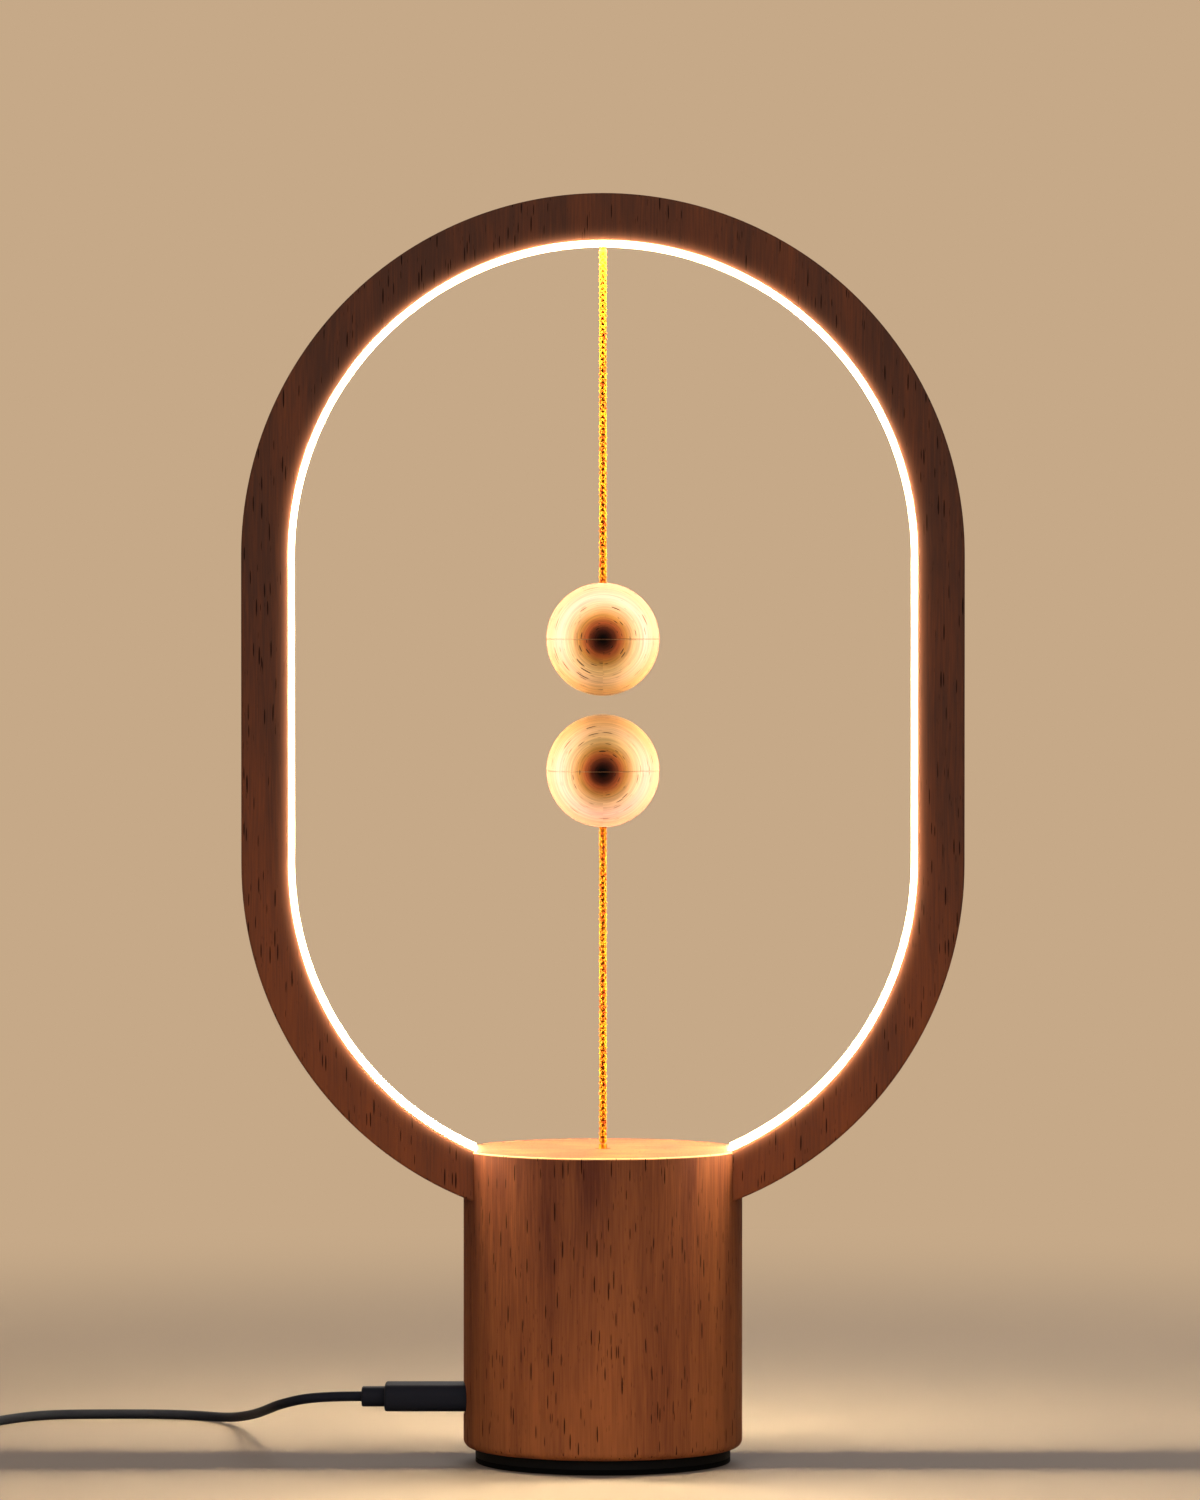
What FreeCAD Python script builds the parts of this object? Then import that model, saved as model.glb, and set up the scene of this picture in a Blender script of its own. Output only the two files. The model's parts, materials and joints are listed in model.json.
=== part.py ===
import FreeCAD, Part
import math
import os

# Magnetic balance lamp. A wooden ring stands on a round wooden base and glows from a
# groove round its inner face. A ball hangs on a cord from the top of the ring, and a
# second ball, tied down to a pull switch in the base, floats just under it: each ball
# holds a magnet. Millimetres. +Z is up, +X runs across the ring and +Y is to the back.
# The origin is the centre of the foot's underside.

X = FreeCAD.Vector(1, 0, 0)
Y = FreeCAD.Vector(0, 1, 0)
Z = FreeCAD.Vector(0, 0, 1)

# Driving dimensions: wooden frame
LAMP_HEIGHT = 229.0
RING_WIDTH = 130.0
RING_DEPTH = 19.2
RING_WALL = 8.4
RING_EDGE = 0.5  # chamfer along the ring's edges
RING_LET_IN = 2.25  # how far the ring's ends are let into the base's side
BASE_DIAMETER = 50.5
BASE_TOP = 56.7
BASE_WALL = 6.25
BASE_CAP = 12.7  # solid wood above the hollow
BASE_BOTTOM_ROUND = 1.5
BASE_TOP_ROUND = 0.4
DOWEL_RADIUS = 1.25
DOWEL_IN_BASE = 9.0
DOWEL_IN_RING = 3.0
DOWEL_SPACING = 10.0
GLUE_FIT = 0.02  # round a dowel, ferrule or other glued piece
SCREW_FIT = 0.05  # round a screw

# Driving dimensions: light
GROOVE_WIDTH = 15.6
GROOVE_DEPTH = 3.4
STRIP_WIDTH = 10.0
STRIP_THICKNESS = 0.3
CHIP_PITCH = 8.3
CHIP_LENGTH = 2.0
CHIP_WIDTH = 2.4
CHIP_HEIGHT = 0.8
CHIP_SEAT = 0.01  # solder under a flat chip on the curved strip
LIGHT_LEAD_SPACING = 2.0
LIGHT_LEAD_INSET = 4.0  # from the side of the hollow
LIGHT_LEAD_DROP = 1.0  # from the hollow's ceiling to where the leads turn down
WIRE_CHANNEL_RADIUS = 2.05
WIRE_CHANNEL_START = 0.9  # channel beyond the end of the strip
WIRE_CHANNEL_END = 3.0  # channel beyond where the leads turn down
DIFFUSER_WALL = 1.0
DIFFUSER_CROWN = 0.8  # how far the middle of the diffuser stands out of its groove
DIFFUSER_FIT = 0.05

# Driving dimensions: balls and cords
BALL_DIAMETER = 20.4
BALL_GAP = 3.4
BALL_EDGE = 0.12  # small chamfer where a ball's halves meet
LOWER_CORD = 58.2  # base top to lower ball
CORD_DIAMETER = 1.45
CORD_HOLE_RADIUS = 1.05
CORD_MOUTH_RADIUS = 1.45
CORD_MOUTH_DEPTH = 0.4
PIVOT_CLEAR = 0.9  # from the upper cord's bend up to the diffuser that it comes out of
LOWER_PIVOT_CLEAR = 1.5  # from the lower cord's bend down to the base, with the switch pulled
BEAD_RADIUS = 0.70
BEAD_GAP = 0.73  # from a bend's centre to the square ends of the cord either side
MAGNET_DIAMETER = 10.0
MAGNET_THICKNESS = 4.0
MAGNET_COVER = 2.5  # wood between the magnet and the ball's pole
MAGNET_FIT = 0.05
KNOT_RADIUS = 2.0
KNOT_BEARING = 1.7  # from a knot's centre to the flat that it bears on
KNOT_POCKET_RADIUS = 2.6
KNOT_POCKET_DEPTH = 5.0
CORD_TAG = 1.0  # cord left beyond a knot
FERRULE_RADIUS = 1.55
FERRULE_LENGTH = 2.8

# Driving dimensions: foot
PAD_THICKNESS = 1.0
COVER_THICKNESS = 1.7
FOOT_INSET = 2.15
COVER_FIT = 0.05
COVER_RIM_WALL = 1.4
COVER_RIM_HEIGHT = 2.0
COVER_SCREW_INSET = 3.95  # screw circle, in from the base's side
COVER_SCREW_RADIUS = 0.9
COVER_SCREW_HEAD_RADIUS = 1.5
COVER_SCREW_HEAD_HEIGHT = 0.9
COVER_SCREW_BITE = 8.0
COVER_SCREWS = 3
BALLAST_THICKNESS = 4.3
BALLAST_GAP = 2.0  # to the side of the hollow

# Driving dimensions: power inlet and circuit board
INLET_HEIGHT = 11.7
BOARD_THICKNESS = 1.2
BOARD_GAP = 2.0  # to the side of the hollow
POST_RADIUS = 2.3
POST_INSET = 4.0  # post circle, in from the board's edge
BALLAST_POST_FIT = 0.2
BOARD_SCREW_RADIUS = 1.0
BOARD_SCREW_LENGTH = 5.0
PAN_HEAD_RADIUS = 1.8
PAN_HEAD_HEIGHT = 1.2
LED_SOCKET = (3.2, 5.2, 4.0)
SWITCH_SOCKET = (5.1, 3.8, 3.0)
SWITCH_SOCKET_PAST_LEAD = 1.2  # socket beyond the first lead
SWITCH_SOCKET_Y = -2.7
DRIVER_CHIP = (5.0, 5.0, 1.2)
DRIVER_CHIP_X = 3.0
CHOKE_RADIUS = 2.2
CHOKE_HEIGHT = 3.0
CHOKE_PLACE = (2.5, -7.5)
CAPACITOR_RADIUS = 2.5
CAPACITOR_HEIGHT = 6.0
CAPACITOR_PLACE = (1.5, 8.0)
RESISTOR = (1.0, 0.6, 0.5)
RESISTOR_PITCH = 2.2
RESISTOR_PLACE = (-3.5, 4.3)
SOCKET_WIDTH = 8.94
SOCKET_HEIGHT = 3.2
SOCKET_LENGTH = 7.3
SOCKET_WALL = 0.3
SOCKET_INTO_WALL = 1.5
TONGUE_WIDTH = 6.7
TONGUE_THICKNESS = 0.7
TONGUE_LENGTH = 5.2
TONGUE_CORNER = 0.2
PLUG_WIDTH = 8.25
PLUG_HEIGHT = 2.4
PLUG_REACH = 6.9
PLUG_WALL = 0.45
PLUG_ROOT = 0.5  # plug shell held in its overmould
OVAL_FLAT = 0.1  # straight left between an oval section's round corners
PLUG_BODY_WIDTH = 10.5
PLUG_BODY_HEIGHT = 4.8
PLUG_BODY_CORNER = 2.0
PLUG_BODY_BACK_ROUND = 0.6
PLUG_BODY_GAP = 0.7  # from socket mouth to overmould
PLUG_BODY_OUT = 14.25  # overmould outside the base
PLUG_SLOT_FIT = 0.4
RELIEF_WIDTH = 5.2
RELIEF_HEIGHT = 3.5
RELIEF_LENGTH = 4.2

# Driving dimensions: pull switch under the cap
STROKE = 1.5
STOP_GAP = 0.05
BRACKET_THICKNESS = 2.0
BRACKET_HALF_WIDTH = 7.0
BRACKET_SWITCH_END = 16.0
BRACKET_FREE_END = 11.5
BRACKET_CORNER = 2.0
BRACKET_SCREW_BITE = 7.0
BOSS_RADIUS = 3.3
BOSS_LENGTH = 2.0
PLUNGER_RADIUS = 2.5
PLUNGER_FIT = 0.08
PLUNGER_BORE_RADIUS = 0.9
FLANGE_RADIUS = 6.0
FLANGE_THICKNESS = 1.5
SPRING_SPACE = 11.0
SPRING_RADIUS = 3.75
SPRING_WIRE = 0.6
SPRING_TURNS = 6
SPRING_STEPS = 12  # points that its curve goes through in each turn
CLIP_RADIUS = 3.5
CLIP_THICKNESS = 0.6
CLIP_GROOVE_RADIUS = 2.0
CLIP_WELL_RADIUS = 3.9
CLIP_MOUTH = 3.0
PLUNGER_NOSE = 0.5  # plunger above its clip
SWITCH_LENGTH = 8.2
SWITCH_WIDTH = 2.7
SWITCH_HEIGHT = 6.5
SWITCH_FROM_AXIS = 7.2
LEVER_THICKNESS = 0.3
LEVER_WIDTH = 2.4
LEVER_GAP = 0.05  # above the plunger's flange
LEVER_TO_SWITCH = 0.85
LEVER_TIP = 4.4
LEVER_PIN_FROM_AXIS = 14.4
LEVER_PIN_RADIUS = 0.35
LEVER_PIN_RISE = 0.8  # lever pin above the switch's underside
LEVER_EAR_CLEAR = 0.1
LEVER_EAR_BACK = 0.6  # ear beyond the lever's pin
LEVER_EAR_FRONT = 0.7
LEVER_EAR_TOP = 0.7
BUTTON_FROM_AXIS = 11.2
BUTTON_LENGTH = 1.0
BUTTON_WIDTH = 1.6
BUTTON_IN_SWITCH = 1.0
BUTTON_FIT = 0.08
BUTTON_CLEAR = 0.02  # above the lever
TERMINAL_PITCH = 2.7
TERMINAL_LENGTH = 2.5
TERMINAL_WIDTH = 1.0
TERMINAL_THICKNESS = 0.5
ARM_THICKNESS = 2.0
ARM_DROP = 7.4
SWITCH_PIN_RADIUS = 0.6
SWITCH_PIN_RISE = 3.9
LEAD_WIRE_RADIUS = 0.45
LEAD_WIRE_BEND = 2.0
SWITCH_LEAD_OUT = 2.4  # from the terminal to where a lead turns down

# Driving dimensions: power lead. Its points lie where the lead does: out of the plug, back
# and down to the table, along it, and forward again into the coil.
LEAD_DIAMETER = 1.8
LEAD_POINTS = [
    (-52.0, 0.0, 11.7),
    (-58.4, 5.6, 9.8),
    (-61.6, 18.5, 7.3),
    (-65.4, 43.0, 3.6),
    (-70.8, 60.5, 1.0),
    (-79.5, 68.2, 0.9),
    (-97.0, 68.9, 0.9),
    (-107.5, 67.0, 0.9),
    (-115.2, 56.0, 0.9),
    (-120.0, 45.5, 0.9),
    (-121.8, 34.0, 0.9),
]
COIL_CENTRE = FreeCAD.Vector(-134.6, 36.0, 0)
COIL_MEAN_RADIUS = 10.25
COIL_SECTION = 7.6
TAIL_POINTS = [(-147.5, 36.0, 2.7), (-148.6, 44.5, 3.5), (-148.6, 52.0, 3.5)]
TIE_WIDTH = 3.0
TIE_THICKNESS = 0.6
USB_RELIEF_LENGTH = 7.0
USB_RELIEF_RADIUS = 2.2
USB_BODY_WIDTH = 15.4
USB_BODY_HEIGHT = 7.0
USB_BODY_LENGTH = 18.0
USB_BODY_CORNER = 1.4
USB_SHELL_WIDTH = 12.0
USB_SHELL_HEIGHT = 4.5
USB_SHELL_LENGTH = 12.0
USB_SHELL_WALL = 0.35
USB_INSULATOR_HEIGHT = 1.9
USB_INSULATOR_SHORT = 0.4  # inside the shell's mouth
USB_RELIEF_TIP = 0.5  # relief's wall where the lead goes in
LEAD_BEND_SHARE = 0.45  # of the shorter run that an arc takes up

# Worked out from the driving dimensions
RING_OUTER = RING_WIDTH / 2
RING_INNER = RING_OUTER - RING_WALL
UPPER_CENTRE = LAMP_HEIGHT - RING_OUTER
BASE_RADIUS = BASE_DIAMETER / 2
RING_FOOT = BASE_RADIUS - RING_LET_IN  # the ring's ends are flat at this X
LOWER_CENTRE = BASE_TOP + math.sqrt(RING_INNER**2 - RING_FOOT**2)
GROOVE_FLOOR = RING_INNER + GROOVE_DEPTH
STRIP_FACE = GROOVE_FLOOR - STRIP_THICKNESS
CROWN = RING_INNER - DIFFUSER_CROWN

WOOD_BOTTOM = PAD_THICKNESS + COVER_THICKNESS
BORE_RADIUS = BASE_RADIUS - BASE_WALL
CEILING = BASE_TOP - BASE_CAP
FOOT_RADIUS = BASE_RADIUS - FOOT_INSET

BALL_RADIUS = BALL_DIAMETER / 2
CORD_RADIUS = CORD_DIAMETER / 2
LOWER_BALL = BASE_TOP + LOWER_CORD + BALL_RADIUS
UPPER_BALL = LOWER_BALL + BALL_DIAMETER + BALL_GAP
UPPER_PIVOT = UPPER_CENTRE + CROWN - PIVOT_CLEAR
LOWER_PIVOT = BASE_TOP + LOWER_PIVOT_CLEAR

BRACKET_BOTTOM = CEILING - BRACKET_THICKNESS
CLIP_BOTTOM = CEILING + STROKE + STOP_GAP
PLUNGER_TOP = CLIP_BOTTOM + CLIP_THICKNESS + PLUNGER_NOSE
WELL_TOP = PLUNGER_TOP + STOP_GAP
FLANGE_TOP = BRACKET_BOTTOM - SPRING_SPACE
FLANGE_BOTTOM = FLANGE_TOP - FLANGE_THICKNESS
LEVER_BOTTOM = FLANGE_TOP + LEVER_GAP
LEVER_TOP = LEVER_BOTTOM + LEVER_THICKNESS
SWITCH_BOTTOM = LEVER_TOP + LEVER_TO_SWITCH
SWITCH_TOP = SWITCH_BOTTOM + SWITCH_HEIGHT
LEVER_PIN_HEIGHT = SWITCH_BOTTOM + LEVER_PIN_RISE
BRACKET_SCREWS = [(7.5, 5.2), (7.5, -5.2), (-9.5, -5.4)]

BOARD_TOP = INLET_HEIGHT - SOCKET_HEIGHT / 2
BOARD_BOTTOM = BOARD_TOP - BOARD_THICKNESS
BOARD_RADIUS = BORE_RADIUS - BOARD_GAP
POST_OFFSET = (BOARD_RADIUS - POST_INSET) / math.sqrt(2)
POSTS = [(a * POST_OFFSET, b * POST_OFFSET) for a in (-1, 1) for b in (-1, 1)]
SOCKET_MOUTH = -(BORE_RADIUS + SOCKET_INTO_WALL)
SOCKET_BACK = SOCKET_MOUTH + SOCKET_LENGTH
PLUG_BODY_FRONT = SOCKET_MOUTH - PLUG_BODY_GAP
PLUG_BODY_BACK = -(BASE_RADIUS + PLUG_BODY_OUT)
RELIEF_END = PLUG_BODY_BACK - RELIEF_LENGTH
LEAD_RADIUS = LEAD_DIAMETER / 2


def save(name, *solids):
    """Write one node: a single solid, or a group of alike ones."""
    shape = solids[0] if len(solids) == 1 else Part.makeCompound(list(solids))
    shape.exportStep(f"parts/{name}.step")


def cylinder(radius, low, high, x=0.0, y=0.0):
    """Upright round bar from z=low to z=high."""
    return Part.makeCylinder(radius, high - low, FreeCAD.Vector(x, y, low), Z)


def tube(outer, inner, low, high, x=0.0, y=0.0):
    return cylinder(outer, low, high, x, y).cut(cylinder(inner, low, high, x, y))


def bar(radius, start, end):
    """Round bar between two points."""
    start, end = FreeCAD.Vector(*start), FreeCAD.Vector(*end)
    return Part.makeCylinder(radius, (end - start).Length, start, end - start)


def block(x0, x1, y0, y1, z0, z1):
    return Part.makeBox(x1 - x0, y1 - y0, z1 - z0, FreeCAD.Vector(x0, y0, z0))


def rounded(box, along, radius):
    """Round a block's four edges that run along one axis."""
    edges = [e for e in box.Edges if abs(e.tangentAt(e.FirstParameter).dot(along)) > 0.99]
    return box.makeFillet(radius, edges)


def flat_bar_x(x0, x1, width, height, corner, z):
    """Bar along X, centred on Y=0, with rounded corners."""
    box = block(x0, x1, -width / 2, width / 2, z - height / 2, z + height / 2)
    return rounded(box, X, corner)


def mirrored(shape):
    return shape.mirror(FreeCAD.Vector(0, 0, 0), X)


def both_sides(shape):
    return [shape, mirrored(shape)]


# The ring's outline is an upper and a lower half circle, joined by two short straight sides


def stadium(radius, depth):
    """Slab with the ring's outline at this distance from the arcs' axes, centred on Y=0."""
    y = -depth / 2
    top, low = UPPER_CENTRE, LOWER_CENTRE
    left_top, left_low = FreeCAD.Vector(-radius, y, top), FreeCAD.Vector(-radius, y, low)
    right_top, right_low = FreeCAD.Vector(radius, y, top), FreeCAD.Vector(radius, y, low)
    outline = Part.Wire(
        [
            Part.Arc(left_top, FreeCAD.Vector(0, y, top + radius), right_top).toShape(),
            Part.makeLine(right_top, right_low),
            Part.Arc(right_low, FreeCAD.Vector(0, y, low - radius), left_low).toShape(),
            Part.makeLine(left_low, left_top),
        ]
    )
    return Part.Face(outline).extrude(Y * depth)


def open_below(loop):
    """Take out the stretch of a closed loop that the base stands in."""
    return loop.cut(block(-RING_FOOT, RING_FOOT, -RING_DEPTH, RING_DEPTH, 0, LOWER_CENTRE))


def sweep_ring(face):
    """Carry a section, drawn at the ring's right side, round the ring's path."""
    drop = FreeCAD.Vector(0, 0, LOWER_CENTRE - UPPER_CENTRE)
    reach = math.degrees(math.acos(RING_FOOT / RING_OUTER)) + 4
    upper = face.revolve(FreeCAD.Vector(0, 0, UPPER_CENTRE), Y, -180)
    side = face.extrude(drop)
    low_face = face.copy()
    low_face.translate(drop)
    lower = low_face.revolve(FreeCAD.Vector(0, 0, LOWER_CENTRE), Y, reach)
    return open_below(upper.fuse(both_sides(side) + both_sides(lower)).removeSplitter())


def ring_station(distance, radius):
    """Place and turn of a point this far along the ring from its top, on the right side."""
    quarter = radius * math.pi / 2
    side = UPPER_CENTRE - LOWER_CENTRE
    if distance < quarter:
        angle = distance / radius
        return math.sin(angle) * radius, UPPER_CENTRE + math.cos(angle) * radius, angle
    if distance < quarter + side:
        return radius, UPPER_CENTRE - (distance - quarter), math.pi / 2
    angle = (distance - quarter - side) / radius
    z = LOWER_CENTRE - math.sin(angle) * radius
    return math.cos(angle) * radius, z, math.pi / 2 + angle


def ring_blank():
    """The ring before its groove is cut."""
    loop = open_below(stadium(RING_OUTER, RING_DEPTH).cut(stadium(RING_INNER, RING_DEPTH)))
    half = RING_DEPTH / 2
    faces_at = [e for e in loop.Edges if abs(abs(e.CenterOfMass.y) - half) < 0.01]
    rims = [e for e in faces_at if abs(e.CenterOfMass.x) > RING_FOOT + 0.01 or e.Length > RING_OUTER]
    return loop.makeChamfer(RING_EDGE, rims)


def diffuser_section():
    """A low arch on two legs, drawn at the ring's right side."""
    half = GROOVE_WIDTH / 2 - DIFFUSER_FIT
    outer = (FreeCAD.Vector(RING_INNER, -half, 0), FreeCAD.Vector(CROWN, 0, 0))
    outer_far = FreeCAD.Vector(RING_INNER, half, 0)
    inside = half - DIFFUSER_WALL
    shoulder = RING_INNER + DIFFUSER_WALL
    inner = (FreeCAD.Vector(shoulder, inside, 0), FreeCAD.Vector(CROWN + DIFFUSER_WALL, 0, 0))
    inner_far = FreeCAD.Vector(shoulder, -inside, 0)
    floor = GROOVE_FLOOR - DIFFUSER_FIT
    feet = [FreeCAD.Vector(floor, y, 0) for y in (half, inside, -inside, -half)]
    edges = [
        Part.Arc(outer[0], outer[1], outer_far).toShape(),
        Part.makeLine(outer_far, feet[0]),
        Part.makeLine(feet[0], feet[1]),
        Part.makeLine(feet[1], inner[0]),
        Part.Arc(inner[0], inner[1], inner_far).toShape(),
        Part.makeLine(inner_far, feet[2]),
        Part.makeLine(feet[2], feet[3]),
        Part.makeLine(feet[3], outer[0]),
    ]
    face = Part.Face(Part.Wire(edges))
    face.translate(FreeCAD.Vector(0, 0, UPPER_CENTRE))
    return face


# Wooden frame


def dowels(fit=0.0):
    low = math.sqrt(RING_OUTER**2 - (RING_FOOT + DOWEL_IN_RING / 2) ** 2)
    high = math.sqrt(GROOVE_FLOOR**2 - (RING_FOOT + DOWEL_IN_RING / 2) ** 2)
    z = LOWER_CENTRE - (low + high) / 2
    x0, x1 = RING_FOOT - DOWEL_IN_BASE - fit, RING_FOOT + DOWEL_IN_RING + fit
    right = [
        bar(DOWEL_RADIUS + fit, (x0, y, z), (x1, y, z))
        for y in (-DOWEL_SPACING / 2, DOWEL_SPACING / 2)
    ]
    return right + [mirrored(d) for d in right]


def ferrule(radius):
    low = UPPER_CENTRE + GROOVE_FLOOR
    return cylinder(radius, low, low + FERRULE_LENGTH)


def ring_frame(blank):
    groove = stadium(GROOVE_FLOOR, GROOVE_WIDTH)
    ring = blank.cut(groove).cut(ferrule(FERRULE_RADIUS + GLUE_FIT))
    return ring.cut(dowels(GLUE_FIT))


def wire_channel():
    """Slanted hole from the right end of the light strip down into the hollow."""
    start, end = strip_end(), channel_foot()
    run = end - start
    run.normalize()
    return bar(WIRE_CHANNEL_RADIUS, start - run * WIRE_CHANNEL_START, end + run * WIRE_CHANNEL_END)


def strip_end():
    radius = GROOVE_FLOOR - STRIP_THICKNESS / 2
    return FreeCAD.Vector(RING_FOOT, 0, LOWER_CENTRE - math.sqrt(radius**2 - RING_FOOT**2))


def channel_foot():
    return FreeCAD.Vector(BORE_RADIUS - LIGHT_LEAD_INSET, 0, CEILING - LIGHT_LEAD_DROP)


def base_body(blank):
    base = cylinder(BASE_RADIUS, WOOD_BOTTOM, BASE_TOP)
    rims = [e for e in base.Edges if isinstance(e.Curve, Part.Circle)]
    bottom = min(rims, key=lambda e: e.CenterOfMass.z)
    base = base.makeFillet(BASE_BOTTOM_ROUND, [bottom])
    rims = [e for e in base.Edges if isinstance(e.Curve, Part.Circle)]
    top = max(rims, key=lambda e: e.CenterOfMass.z)
    base = base.makeFillet(BASE_TOP_ROUND, [top])
    mouth = Part.makeCone(
        CORD_HOLE_RADIUS,
        CORD_MOUTH_RADIUS,
        CORD_MOUTH_DEPTH,
        FreeCAD.Vector(0, 0, BASE_TOP - CORD_MOUTH_DEPTH),
        Z,
    )
    slot = flat_bar_x(
        -BASE_RADIUS - 1,
        -BORE_RADIUS + 1,
        PLUG_BODY_WIDTH + 2 * PLUG_SLOT_FIT,
        PLUG_BODY_HEIGHT + 2 * PLUG_SLOT_FIT,
        PLUG_BODY_CORNER + PLUG_SLOT_FIT,
        INLET_HEIGHT,
    )
    cuts = [
        blank,
        cylinder(BORE_RADIUS, WOOD_BOTTOM, CEILING),
        cylinder(CLIP_WELL_RADIUS, CEILING, WELL_TOP),
        cylinder(CORD_HOLE_RADIUS, WELL_TOP, BASE_TOP),
        mouth,
        slot,
        wire_channel(),
    ]
    screws = bracket_screws(SCREW_FIT) + cover_screws(SCREW_FIT)
    return base.cut(cuts + dowels(GLUE_FIT) + screws)


# Light


def light_strip():
    loop = stadium(GROOVE_FLOOR, STRIP_WIDTH).cut(stadium(STRIP_FACE, STRIP_WIDTH))
    return open_below(loop).cut(cord_way())


def cord_way():
    """The hole through strip and diffuser at the top of the ring."""
    return cylinder(CORD_HOLE_RADIUS, UPPER_CENTRE + CROWN - 1, UPPER_CENTRE + GROOVE_FLOOR)


def chips():
    half = CHIP_LENGTH / 2
    seat = STRIP_FACE - CHIP_SEAT
    last = seat * math.pi / 2 + UPPER_CENTRE - LOWER_CENTRE
    last += seat * math.acos(RING_FOOT / seat) - CHIP_LENGTH
    right = []
    for n in range(int((last - CHIP_PITCH / 2) / CHIP_PITCH) + 1):
        x, z, turn = ring_station((n + 0.5) * CHIP_PITCH, seat)
        chip = block(-half, half, -CHIP_WIDTH / 2, CHIP_WIDTH / 2, -CHIP_HEIGHT, 0)
        chip.rotate(FreeCAD.Vector(0, 0, 0), Y, math.degrees(turn))
        chip.translate(FreeCAD.Vector(x, 0, z))
        right.append(chip)
    return right + [mirrored(c) for c in right]


def wire(points, bend, radius):
    """A round wire along straight runs that are joined by arcs of one bend radius."""
    return sweep_round(*bent_path(points, [bend] * (len(points) - 2)), radius)


def bent_path(points, bends):
    """Edges of a path with an arc at each inner point, and its first direction."""
    points = [FreeCAD.Vector(*p) for p in points]
    edges, start = [], points[0]
    for before, corner, after, bend in zip(points, points[1:], points[2:], bends):
        come, go = corner - before, after - corner
        come.normalize()
        go.normalize()
        half_turn = come.getAngle(go) / 2
        reach = bend * math.tan(half_turn)
        first, last = corner - come * reach, corner + go * reach
        inward = go - come
        inward.normalize()
        middle = corner + inward * bend * (1 / math.cos(half_turn) - 1)
        edges.append(Part.makeLine(start, first))
        edges.append(Part.Arc(first, middle, last).toShape())
        start = last
    edges.append(Part.makeLine(start, points[-1]))
    return edges, points[0], points[1] - points[0]


def sweep_round(edges, start, direction, radius):
    ring = Part.Wire(Part.makeCircle(radius, start, direction))
    solid = Part.Wire(edges).makePipeShell([ring], True, False)
    section = math.pi * radius**2 * sum(e.Length for e in edges)
    print(f"tube volume {solid.Volume:.1f}, section times length {section:.1f}")
    return solid


def light_leads():
    start, foot = strip_end(), channel_foot()
    start.x -= LEAD_WIRE_RADIUS
    top = BOARD_TOP + LED_SOCKET[2]
    leads = []
    for y in (-LIGHT_LEAD_SPACING / 2, LIGHT_LEAD_SPACING / 2):
        points = [(start.x, y, start.z), (foot.x, y, foot.z), (foot.x, y, top)]
        leads.append(wire(points, LEAD_WIRE_BEND, LEAD_WIRE_RADIUS))
    return leads


# Foot


def cover_screws(fit=0.0):
    circle = BASE_RADIUS - COVER_SCREW_INSET
    screws = []
    for n in range(COVER_SCREWS):
        angle = math.radians(90 + n * 360 / COVER_SCREWS)
        x, y = circle * math.cos(angle), circle * math.sin(angle)
        head = Part.makeCone(
            COVER_SCREW_HEAD_RADIUS + fit,
            COVER_SCREW_RADIUS + fit,
            COVER_SCREW_HEAD_HEIGHT,
            FreeCAD.Vector(x, y, PAD_THICKNESS),
            Z,
        )
        shank_end = WOOD_BOTTOM + COVER_SCREW_BITE + fit
        shank_start = PAD_THICKNESS + COVER_SCREW_HEAD_HEIGHT
        shank = cylinder(COVER_SCREW_RADIUS + fit, shank_start, shank_end, x, y)
        screws.append(head.fuse(shank))
    return screws


def board_screws(fit=0.0):
    screws = []
    for x, y in POSTS:
        shank_start = BOARD_TOP - BOARD_SCREW_LENGTH - fit
        shank = cylinder(BOARD_SCREW_RADIUS + fit, shank_start, BOARD_TOP, x, y)
        head = cylinder(PAN_HEAD_RADIUS, BOARD_TOP, BOARD_TOP + PAN_HEAD_HEIGHT, x, y)
        screws.append(shank.fuse(head))
    return screws


def bottom_cover():
    cover = cylinder(FOOT_RADIUS, PAD_THICKNESS, WOOD_BOTTOM)
    rim_outer = BORE_RADIUS - COVER_FIT
    rim_inner = rim_outer - COVER_RIM_WALL
    rim = tube(rim_outer, rim_inner, WOOD_BOTTOM, WOOD_BOTTOM + COVER_RIM_HEIGHT)
    posts = [cylinder(POST_RADIUS, WOOD_BOTTOM, BOARD_BOTTOM, x, y) for x, y in POSTS]
    cover = cover.fuse([rim] + posts).removeSplitter()
    return cover.cut(cover_screws(SCREW_FIT) + board_screws(SCREW_FIT))


def ballast():
    top = WOOD_BOTTOM + BALLAST_THICKNESS
    disc = cylinder(BORE_RADIUS - BALLAST_GAP, WOOD_BOTTOM, top)
    hole = POST_RADIUS + BALLAST_POST_FIT
    return disc.cut([cylinder(hole, WOOD_BOTTOM, top, x, y) for x, y in POSTS])


# Circuit board and power inlet


def on_board(size, x, y):
    """Block of this length, width and height on the board, centred at (x, y)."""
    length, width, height = size
    half, wide = length / 2, width / 2
    return block(x - half, x + half, y - wide, y + wide, BOARD_TOP, BOARD_TOP + height)


def circuit_board():
    board = cylinder(BOARD_RADIUS, BOARD_BOTTOM, BOARD_TOP)
    hole = BOARD_SCREW_RADIUS + SCREW_FIT
    return board.cut([cylinder(hole, BOARD_BOTTOM, BOARD_TOP, x, y) for x, y in POSTS])


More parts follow.
